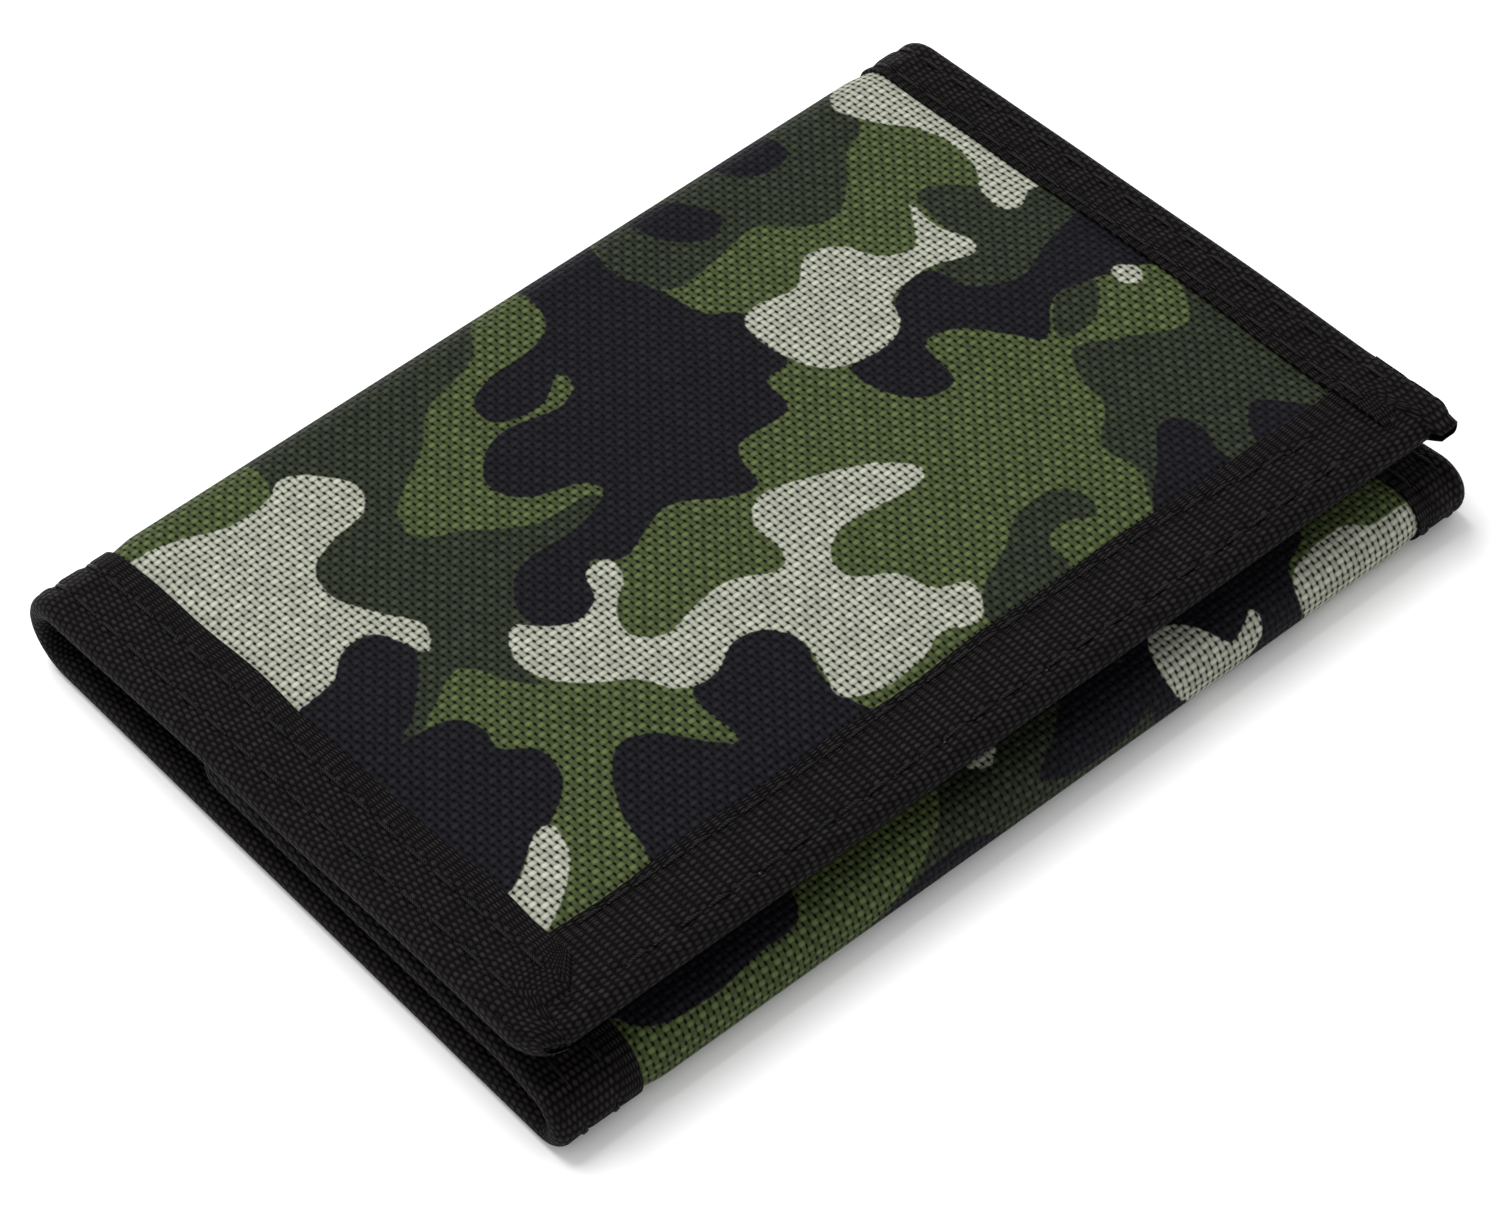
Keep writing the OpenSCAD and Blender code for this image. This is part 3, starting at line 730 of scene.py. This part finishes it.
def lap(u):
    """How far an end tape rises over the free edge's own tape at a corner."""
    over_front = ease(u, front_edge - 13.5 * mm, front_edge - 10.5 * mm)
    over_tip = ease(-u, -inner_tip - 13.5 * mm, -inner_tip - 10.5 * mm)
    return canvas_sink * (over_front + over_tip)


end_names = {-1: "near", 1: "far"}
end_width = {-1: 10.7 * mm, 1: 7.5 * mm}
edge_width = 11.2 * mm
# An end tape runs this far past the free edges before it tucks in
overrun = 0.3 * mm
far_overrun = 1.3 * mm


def end_tape(name, length, side, thick=stack):
    """The tape along the near end (side -1) or the far end (side 1) of one length."""
    u0, u1 = lengths[length][:2]
    over = far_overrun if side > 0 else overrun
    u0 = u0 if u0 > inner_tip else inner_tip - overrun
    u1 = u1 if u1 < front_edge else front_edge + over
    shape = flat_tape(u0, u1)
    tape = places_in(shape)
    along, across, depth = tape.T
    held = thick(along) if callable(thick) else thick
    distance, level = fold_over(along, across, depth, end_names[side], held, end_width[side])
    way = np.where(across < 0, -1, 1) * ease(np.abs(across), 0, 2.3 * mm)
    level = level + way * lap(along)
    # At each free edge the tape closes round the corner, and slants back along the edge
    for edge, sign, over in ((front_edge, 1, over), (inner_tip, -1, overrun)):
        from_edge = (edge - along) * sign
        wrapped = np.clip((1.9 * mm + over * 0.4 - from_edge) / (2.3 * mm + over), 0, 0.96)
        level = stack / 2 + (level - stack / 2) * np.sqrt(1 - wrapped ** 2)
        reach = 3.4 * mm * ease(distance, 3.4 * mm, 5 * mm)
        reach = reach + np.maximum(distance - 8 * mm, 0) * 1.2
        along = along - sign * reach * (1 - ease(from_edge, -over, 11 * mm))
    places = np.stack([along, side * (half_length - distance), level], 1)
    return sew(name, shape, binding_finish, places,
               cut_pattern(tape, end_width[side]))


def seam(start, end, pitch, distance, level, face):
    """A row of stitches: where each has its middle, how deep it lies and which way is out."""
    middles = np.arange(math.ceil(start / pitch), math.floor(end / pitch)) * pitch + pitch / 2
    away = distance(middles) if callable(distance) else distance
    columns = np.broadcast_arrays(middles, away, level, face, pitch)
    return np.stack(columns, 1)


def several(one, count):
    """That many copies of a small shape, one after another, all in the same place."""
    mesh = bpy.data.meshes.new("one")
    one.to_mesh(mesh)
    one.free()
    shape = bmesh.new()
    for _ in range(count):
        shape.from_mesh(mesh)
    number = np.repeat(np.arange(count), len(mesh.vertices))
    bpy.data.meshes.remove(mesh)
    return shape, np.array([v.co for v in shape.verts]), number


def sew_stitches(name, seams, to_strip):
    """Short lengths of thread, each dipping into the cloth at both of its ends."""
    spots = np.concatenate(seams)
    one = bmesh.new()
    bmesh.ops.create_uvsphere(one, u_segments=8, v_segments=6, radius=1)
    shape, ball, number = several(one, len(spots))
    middle, distance, level, face, pitch = spots[number].T
    along = middle + ball[:, 2] * pitch * 0.44
    distance = distance + ball[:, 0] * 0.26 * mm
    proud = -0.03 * mm + ball[:, 1] * 0.17 * mm - 0.24 * mm * ball[:, 2] ** 4
    places = to_strip(along, distance, level + face * proud, face)
    pattern = np.stack([along, ball[:, 0] * 0.3 * mm], 1)
    return sew(name, shape, thread_finish, places, pattern, sharp=80)


def pocket_stack(along):
    """The canvas alone is bound at the bill pocket's mouth, so its tape is thinner."""
    on_back = ease(along, back_end - 1 * mm, back_end + 5 * mm) \
        * (1 - ease(along, back_start - 5 * mm, back_start + 1 * mm))
    return stack - 1.4 * mm * on_back


cad_tapes = {
    ("front", -1): ["front_binding_near"],
    ("front", 1): ["front_binding_far"],
    ("back_front_half", -1): ["back_binding_near", "front_fold_binding_near"],
    ("back_front_half", 1): ["back_binding_far", "front_fold_binding_far"],
    ("back_inner_half", -1): ["inner_fold_binding_near"],
    ("back_inner_half", 1): ["inner_fold_binding_far"],
    ("inner", -1): ["inner_binding_near"],
    ("inner", 1): ["inner_binding_far"],
}
for (length, side), nodes in cad_tapes.items():
    label = "binding_" + end_names[side] + "_" + length
    thin = side > 0 and length.startswith("back")
    tape = end_tape(label, length, side, pocket_stack if thin else stack)
    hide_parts(*nodes)
    bend_with(tape, length)
    u0, u1 = lengths[length][:2]
    u0, u1 = max(u0, inner_tip + 4 * mm), min(u1, front_edge - 4 * mm)
    seams = []
    for row, (_, pitch) in enumerate(stitch_rows[end_names[side]]):
        def away(along):
            return row_distance(end_names[side], row, along)

        seams.append(seam(u0, u1, pitch * mm, away, 0, -1))
        if not thin:
            seams.append(seam(u0, u1, pitch * mm, away, stack, 1))

    def on_end(along, distance, level, face):
        level = level + face * lap(along)
        return np.stack([along, side * (half_length - distance), level], 1)

    thread = sew_stitches("stitching_" + end_names[side] + "_" + length, seams, on_end)
    bend_with(thread, length)


def edge_tape(name, edge, way, body, nodes):
    """The tape along a free edge, under the end tapes at its corners."""
    end = half_length - 0.5 * mm
    shape = flat_tape(-end, end)
    tape = places_in(shape)
    along, across, depth = tape.T
    distance, level = fold_over(along, across, depth, "edge", stack, edge_width)
    places = np.stack([edge - way * distance, along, level], 1)
    piece = sew(name, shape, binding_finish, places,
                cut_pattern(tape, edge_width))
    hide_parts(*nodes)
    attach(piece, body)


for name, edge, way, body, nodes in (
        ("front_edge", front_edge, 1, "front_flap", ["front_binding_edge"]),
        ("inner_tip", inner_tip, -1, "inner_flap", ["inner_binding_tip"])):
    edge_tape("binding_" + name, edge, way, body, nodes)
    seams = []
    for row, (_, pitch) in enumerate(stitch_rows["edge"]):
        def away(along):
            return row_distance("edge", row, along)

        for level, face in ((0, -1), (stack, 1)):
            seams.append(seam(-50 * mm, 50 * mm, pitch * mm, away, level, face))

    def on_edge(along, distance, level, face):
        return np.stack([edge - way * distance, along, level], 1)

    thread = sew_stitches("stitching_" + name, seams, on_edge)
    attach(thread, body)

# ---------------------------------------------------------------- lining
# Thin plain-woven black nylon behind the canvas, caught in the binding all round. On
# the front flap it is parted by the zip of the coin pocket. On the back it stays loose
# from the canvas at the far end, which makes the bill pocket.
lining_finish, tree, shader, cloth = cloth_finish("nylon_lining", 0.42, 0.2)
weave = node(tree, "ShaderNodeGroup", {"Cloth": cloth, "Warp Pitch": 0.34, "Weft Pitch": 0.28,
                                       "Stray": 0.3}, node_tree=plain_weave)
creased = noise(tree, cloth, 0.09, 3.0).outputs["Fac"]
# Painted light: the colour is pale on the tops of the yarns and dark between them, and darker again
# in the hollows of the creases that the bump also makes
lit = calc(tree, "MULTIPLY", weave.outputs["Height"], rise(tree, creased, 0.3, 0.7, 0.5, 1.0))
relief = calc(tree, "ADD", calc(tree, "MULTIPLY", weave.outputs["Height"], 0.1), creased)
finish_from(tree, shader, lit, (0.003, 0.003, 0.0035, 1), (0.024, 0.024, 0.027, 1),
            creased, (0.3, 0.7, 0.34, 0.55), relief, 0.6 * mm)
lining_depth = 2.05 * mm
lining_thickness = 0.4 * mm
zip_at = 9 * mm
slot_half = 4 * mm


linings = {
    "front": (front_mid, zip_at - slot_half, ["coin_pocket_strip"]),
    "back_front_half": (back_mid, front_mid, ["back_lining", "front_fold_lining"]),
    "back_inner_half": (inner_mid, back_mid, ["inner_fold_lining"]),
    "inner": (inner_tip + canvas_hem, inner_mid, ["inner_lining"]),
}
v1 = half_length - canvas_hem
for length, (u0, u1, nodes) in linings.items():
    shape = flat_cloth(u0, u1, -v1, v1, lining_depth, lining_depth + lining_thickness, 1.2 * mm)
    lining = sew("lining_" + length, shape, lining_finish)
    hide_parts(*nodes)
    bend_with(lining, length)

# The tape over the lining's own far edge, at the mouth of the bill pocket
mouth_thick = 1.3 * mm
shape = flat_tape(back_end, back_start)
tape = places_in(shape)
along, across, depth = tape.T
distance, level = fold_over(along, across, depth, "near", mouth_thick, tape_width)
mouth = sew("bill_pocket_mouth", shape, binding_finish,
            np.stack([along, half_length - distance, level + 1.6 * mm], 1), tape)
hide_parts("bill_pocket_binding")
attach(mouth, "back_panel")


def across_mouth(along, distance, level, face):
    return np.stack([along, half_length - distance, level], 1)


seams = [seam(back_end, back_start, pitch * mm, place * mm, stack, 1)
         for place, pitch in stitch_rows["near"]]
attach(sew_stitches("bill_pocket_stitching", seams, across_mouth), "back_panel")

# ---------------------------------------------------------------- card pockets
# Three sheets of lining nylon, one behind the other on the back panel. Each has a narrow
# tape folded over its upper edge, and all are sewn down at the sides and foot.
pocket_left = back_start - 12.05 * mm
pocket_right = back_start - 70.05 * mm
pocket_foot = -50.5 * mm
# Its pale colour is the painted highlight on the tops of the beads
narrow_tape = tape_finish("narrow_binding", (0.0015, 0.0012, 0.0012, 1),
                          (0.028, 0.024, 0.025, 1), 10.4)
for label, upper_edge, depth in (
        ("rear", 33.5 * mm, 2.45 * mm), ("middle", 22.5 * mm, 2.80 * mm),
        ("front", 11.5 * mm, 3.15 * mm)):
    shape = flat_cloth(pocket_right, pocket_left, pocket_foot, upper_edge, depth,
                       depth + 0.33 * mm, 1.2 * mm)
    pocket = sew("card_pocket_cloth_" + label, shape, lining_finish)
    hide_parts("card_pocket_" + label)
    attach(pocket, "back_panel")
    shape = flat_cloth(pocket_right, pocket_left, upper_edge - 6 * mm, upper_edge + 0.3 * mm,
                       depth + 0.33 * mm, depth + 0.58 * mm, 0.5 * mm)
    flat = places_in(shape)
    past_edge = ease(flat[:, 1], upper_edge - 0.6 * mm, upper_edge + 0.3 * mm)
    flat[:, 2] -= 0.3 * mm * past_edge
    groove = np.exp(-((flat[:, 1] - upper_edge + 4.6 * mm) / (0.4 * mm)) ** 2)
    flat[:, 2] -= 0.12 * mm * groove
    border = sew("pocket_edge_" + label, shape, narrow_tape, flat)
    if label == "rear":
        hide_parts("card_pocket_bindings")
    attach(border, "back_panel")


def on_pocket(along, distance, level, face):
    return np.stack([along, distance, level], 1)


def up_pocket(along, distance, level, face):
    return np.stack([distance, along, level], 1)


pocket_seams = [
    seam(pocket_right + 1 * mm, pocket_left - 1 * mm, 3.2 * mm, edge - 4.6 * mm, level, 1)
    for edge, level in ((33.5 * mm, 2.95 * mm), (22.5 * mm, 3.30 * mm), (11.5 * mm, 3.65 * mm))]
pocket_seams.append(
    seam(pocket_right, pocket_left, 3.2 * mm, pocket_foot + 2 * mm, 3.48 * mm, 1))
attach(sew_stitches("pocket_edge_stitching", pocket_seams, on_pocket), "back_panel")
side_seams = []
for side_u in (pocket_left - 1.6 * mm, pocket_right + 1.6 * mm):
    side_seams += [
        seam(pocket_foot, 10 * mm, 3.2 * mm, side_u, 3.48 * mm, 1),
        seam(12.5 * mm, 22 * mm, 3.2 * mm, side_u, 3.15 * mm, 1),
        seam(23.5 * mm, 33 * mm, 3.2 * mm, side_u, 2.80 * mm, 1)]
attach(sew_stitches("pocket_side_stitching", side_seams, up_pocket), "back_panel")

# ---------------------------------------------------------------- coin pocket and zip
# The front flap's lining closes the coin pocket. A nylon coil zip is sewn into the slot
# beside the fold: two herringbone tapes, a coil on each, and a metal stop at each end.
face_start = zip_at + slot_half
face_end = front_edge - canvas_hem
shape = flat_cloth(face_start, face_end, -v1, v1, lining_depth,
                   lining_depth + lining_thickness, 1.2 * mm)
coin_face = sew("coin_pocket_cloth", shape, lining_finish)
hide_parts("coin_pocket_face")
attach(coin_face, "front_flap")

zip_tape_finish, tree, shader, cloth = cloth_finish("herringbone_zip_tape", 0.6, 0.1)
across = node(tree, "ShaderNodeSeparateXYZ", {0: cloth})
chevron = calc(tree, "ADD", calc(tree, "PINGPONG", across.outputs[0], 1.1), across.outputs[1])
herringbone_and_highlight = calc(tree, "ABSOLUTE", calc(tree, "SINE", calc(tree, "MULTIPLY", chevron, 7.5)))
# Painted highlight: the black tape's colour is paler along the ridges of the herringbone, which
# also shape its relief and roughness
finish_from(tree, shader, herringbone_and_highlight, (0.003, 0.003, 0.0035, 1), (0.026, 0.025, 0.028, 1),
            herringbone_and_highlight, (0.0, 1.0, 0.75, 0.5), herringbone_and_highlight, 0.08 * mm)

coil_finish, tree, shader, cloth = cloth_finish("nylon_coil", 0.3, 0.4)
speck = noise(tree, cloth, 6.0).outputs["Fac"]
finish_from(tree, shader, speck, (0.012, 0.012, 0.014, 1), (0.030, 0.030, 0.034, 1),
            speck, (0.3, 0.7, 0.24, 0.42), speck, 0.01 * mm)

metal_finish, tree, shader, cloth = cloth_finish("dark_lacquered_metal", 0.35, 0.5)
shader.inputs["Metallic"].default_value = 0.85
cast = noise(tree, cloth, 2.5, 3.0).outputs["Fac"]
finish_from(tree, shader, cast, (0.045, 0.045, 0.048, 1), (0.085, 0.085, 0.090, 1),
            cast, (0.3, 0.7, 0.28, 0.48), cast, 0.02 * mm)

zip_half = 46.5 * mm
tooth_pitch = 1.5 * mm
for label, way in (("left", -1), ("right", 1)):
    inside, outside = zip_at + way * 0.4 * mm, zip_at + way * 6.9 * mm
    shape = flat_cloth(min(inside, outside), max(inside, outside), -52 * mm, 52 * mm,
                       1.65 * mm, 2.05 * mm, 0.8 * mm)
    zip_tape = sew("zip_tape_woven_" + label, shape, zip_tape_finish)
    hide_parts("zip_tape_" + label)
    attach(zip_tape, "front_flap")
    one = bmesh.new()
    bmesh.ops.create_uvsphere(one, u_segments=8, v_segments=6, radius=1)
    shape, ball, number = several(one, int(2 * zip_half / tooth_pitch))
    shift = 0.5 * tooth_pitch * (way > 0)
    flat = np.stack([
        zip_at + way * (0.95 * mm + 1.25 * mm * ball[:, 2]),
        -zip_half + (number + 0.25) * tooth_pitch + shift
        + ball[:, 0] * 0.36 * mm * (1 - 0.25 * ball[:, 2]),
        2.50 * mm + ball[:, 1] * 0.42 * mm], 1)
    teeth = sew("zip_coil_" + label, shape, coil_finish, flat)
    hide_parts("zip_teeth_" + label)
    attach(teeth, "front_flap")

coil_seams = [seam(-46 * mm, 46 * mm, 1.5 * mm, zip_at + way * 1.75 * mm, 2.86 * mm, 1)
              for way in (-1, 1)]
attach(sew_stitches("zip_coil_stitching", coil_seams, up_pocket), "front_flap")
slot_seams = [seam(-50 * mm, 50 * mm, 2.8 * mm, zip_at + way * 5.6 * mm, 2.47 * mm, 1)
              for way in (-1, 1)]
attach(sew_stitches("zip_slot_stitching", slot_seams, up_pocket), "front_flap")


def soft_block(shape, low, high, radius, nose=0.0):
    """A bar or plate with rounded edges between two corners; nose narrows its far end."""
    made = bmesh.ops.create_cube(shape, size=1)["verts"]
    size = Vector(high) - Vector(low)
    bmesh.ops.scale(shape, vec=size, verts=made)
    bmesh.ops.scale(shape, vec=(1 - nose, 1, 1), verts=[v for v in made if v.co.y > 0])
    bmesh.ops.translate(shape, vec=(Vector(high) + Vector(low)) / 2, verts=made)
    edges = {e for v in made for e in v.link_edges}
    bmesh.ops.bevel(shape, geom=list(edges), offset=radius, offset_type="OFFSET", segments=3,
                    profile=0.5, affect="EDGES", material=-1, clamp_overlap=True)


def on_zip(shape):
    """Metal parts are made as (across the zip, along it, depth) in millimetres."""
    flat = np.array([v.co for v in shape.verts]) * mm
    flat[:, 0] += zip_at
    return flat


shape = bmesh.new()
for along in (-47.25, 47.25):
    soft_block(shape, (-2.1, along - 0.7, 2.08), (2.1, along + 0.7, 3.05), 0.25)
stops = sew("zip_stops_pair", shape, metal_finish, on_zip(shape))
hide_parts("zip_stops")
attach(stops, "front_flap")

# The slider: two plates joined by a wedge between the coils, side flanges, and a bridge
# of two lugs and a pin for the pull.
slider_at = 42
shape = bmesh.new()
for low, high in ((3.1, 3.6), (1.0, 1.5)):
    soft_block(shape, (-3.5, slider_at - 4.5, low), (3.5, slider_at + 4.5, high), 0.2, 0.16)
soft_block(shape, (-0.35, slider_at + 2.2, 1.3), (0.35, slider_at + 4.2, 3.3), 0.15)
for way in (-1, 1):
    low, high = sorted((way * 2.75, way * 3.4))
    soft_block(shape, (low, slider_at - 4.2, 2.9), (high, slider_at - 0.6, 3.3), 0.12)
    low, high = sorted((way * 1.2, way * 2.0))
    soft_block(shape, (low, slider_at - 1.5, 3.4), (high, slider_at + 1.5, 5.5), 0.25)
pin = bmesh.ops.create_cone(shape, cap_ends=True, segments=16, radius1=0.45, radius2=0.45,
                            depth=3.6)["verts"]
bmesh.ops.rotate(shape, cent=(0, 0, 0), matrix=Matrix.Rotation(math.pi / 2, 3, "Y"), verts=pin)
bmesh.ops.translate(shape, vec=(0, slider_at, 4.8), verts=pin)
slider = sew("slider_body", shape, metal_finish, on_zip(shape), sharp=50)
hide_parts("zip_slider")
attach(slider, "slider")

# The pull: an eye that is spun round the pin, and a flat tab with three grip bars.
shape = bmesh.new()
bmesh.ops.create_circle(shape, segments=10, radius=0.27, cap_ends=False)
bmesh.ops.rotate(shape, cent=(0, 0, 0), matrix=Matrix.Rotation(math.pi / 2, 3, "X"),
                 verts=shape.verts)
bmesh.ops.translate(shape, vec=(0, 0, 0.78), verts=shape.verts)
bmesh.ops.scale(shape, vec=(2.6, 1, 1), verts=shape.verts)
bmesh.ops.spin(shape, geom=shape.edges[:] + shape.verts[:], cent=(0, 0, 0), axis=(1, 0, 0),
               angle=2 * math.pi, steps=20, use_merge=True)
bmesh.ops.translate(shape, vec=(0, slider_at, 4.8), verts=shape.verts)
soft_block(shape, (-1.8, slider_at - 11, 4.45), (1.8, slider_at - 1.0, 5.15), 0.25, 0.45)
for step in (3, 4.6, 6.2):
    soft_block(shape, (-1.25, slider_at - 11 + step - 0.35, 4.36),
               (1.25, slider_at - 11 + step + 0.35, 5.24), 0.08)
pull = sew("pull_tab", shape, metal_finish, on_zip(shape), sharp=50)
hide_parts("zip_pull")
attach(pull, "pull")

# ---------------------------------------------------------------- hook and loop
# The closure: a patch of nylon hooks on the front flap's inside presses on a patch of
# brushed loops on the inner flap's outside. Each is sewn down along its two long edges.
pile_finish, tree, shader, cloth = cloth_finish("hook_and_loop_nylon", 0.5, 0.1)
strands = noise(tree, cloth, 4.0, 4.0).outputs["Fac"]
finish_from(tree, shader, strands, (0.003, 0.003, 0.0035, 1), (0.030, 0.030, 0.033, 1),
            strands, (0.3, 0.7, 0.4, 0.7), strands, 0.15 * mm)
patch_half = 32 * mm
rng = np.random.default_rng(7)


def pile(u0, u1, root, tip, pitch, sweep, lean):
    """Rows of little bent strands standing on a patch: open hooks or whole loops."""
    strand = bmesh.new()
    bmesh.ops.create_circle(strand, segments=4, radius=0.09)
    bmesh.ops.translate(strand, vec=(0.38, 0, 0), verts=strand.verts)
    bmesh.ops.spin(strand, geom=strand.edges[:] + strand.verts[:], cent=(0, 0, 0),
                   axis=(0, 1, 0), angle=-sweep, steps=7)
    columns, rows = int((u1 - u0) / pitch), int(2 * patch_half / pitch)
    shape, bend, spot = several(strand, columns * rows)
    turn = rng.normal(0, lean, columns * rows)[spot]
    reach = bend[:, 0] * mm
    tall = (bend[:, 2] + 0.05) / 0.52 * (tip - root)
    return shape, np.stack([
        u0 + (spot % columns + 0.5) * pitch + reach * np.cos(turn) - bend[:, 1] * mm * np.sin(turn),
        -patch_half + (spot // columns + 0.5) * pitch + reach * np.sin(turn)
        + bend[:, 1] * mm * np.cos(turn),
        root + tall], 1)


patches = (
    ("hook", "front_flap", 52.3 * mm, 70.3 * mm, 2.45 * mm, 2.95 * mm, 4.0 * mm, 4.2, 0.25),
    ("loop", "inner_flap", inner_start - 29.85 * mm, inner_start - 11.85 * mm,
     0.45 * mm, -0.25 * mm, -1.45 * mm, math.pi, 1.2),
)
for label, body, u0, u1, foot, top, tip, sweep, lean in patches:
    shape = flat_cloth(u0, u1, -patch_half, patch_half, min(foot, top), max(foot, top), 0.9 * mm)
    base = sew(label + "_patch_backing", shape, pile_finish)
    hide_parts(label + "_patch")
    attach(base, body)
    shape, flat = pile(u0 + 1.6 * mm, u1 - 1.6 * mm, top, tip, 1.3 * mm, sweep, lean)
    strands = sew(label + "_patch_pile", shape, pile_finish, flat, sharp=90)
    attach(strands, body)
    face = 1 if top > foot else -1
    edges = [seam(-patch_half + 1 * mm, patch_half - 1 * mm, 2.6 * mm, place, top, face)
             for place in (u0 + 0.9 * mm, u1 - 0.9 * mm)]
    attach(sew_stitches(label + "_patch_stitching", edges, up_pocket), body)

# ---------------------------------------------------------------- photo window
# A clear soft vinyl pane on the inside of the inner flap, held by a narrow tape that is
# sewn round three sides of it.
film = bpy.data.materials.new("clear_vinyl")
film.use_nodes = True
tree = film.node_tree
shader = tree.nodes["Principled BSDF"]
shader.inputs["Transmission Weight"].default_value = 1.0
shader.inputs["IOR"].default_value = 1.35
film_uv = tree.nodes.new("ShaderNodeUVMap")
film_uv.uv_map = "cloth"
haze = noise(tree, film_uv.outputs[0], 0.25, 4.0).outputs["Fac"]
finish_from(tree, shader, haze, (0.90, 0.92, 0.93, 1), (0.97, 0.98, 0.98, 1),
            haze, (0.35, 0.7, 0.05, 0.22), haze, 0.25 * mm)
pane_end, pane_start = inner_start - 43.5 * mm, inner_start - 4.5 * mm
shape = flat_cloth(pane_end, pane_start, -44.5 * mm, 44.5 * mm, 2.46 * mm, 2.64 * mm, 1.5 * mm)
pane = sew("photo_window_pane", shape, film)
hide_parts("photo_window")
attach(pane, "inner_flap")

shape = bmesh.new()
bmesh.ops.create_grid(shape, x_segments=22, y_segments=47, size=0.5)
bmesh.ops.scale(shape, vec=(44 * mm, 94 * mm, 1), verts=shape.verts)
inside = [f for f in shape.faces if abs(f.calc_center_median().x) < 17 * mm
          and abs(f.calc_center_median().y) < 42 * mm]
bmesh.ops.delete(shape, geom=inside, context="FACES")
bmesh.ops.translate(shape, vec=(inner_start - 24 * mm, 0, -2.9 * mm), verts=shape.verts)
thicken(shape, 0.3 * mm)
border = sew("photo_window_border", shape, narrow_tape)
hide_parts("photo_window_frame")
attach(border, "inner_flap")
window_seams = [seam(-45 * mm, 45 * mm, 3.0 * mm, inner_start - place, 2.88 * mm, 1)
                for place in (4 * mm, 44 * mm)]
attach(sew_stitches("window_side_stitching", window_seams, up_pocket), "inner_flap")
window_end = seam(inner_start - 44 * mm, inner_start - 4 * mm, 3.0 * mm, -45 * mm, 2.88 * mm, 1)
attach(sew_stitches("window_end_stitching", [window_end], on_pocket), "inner_flap")
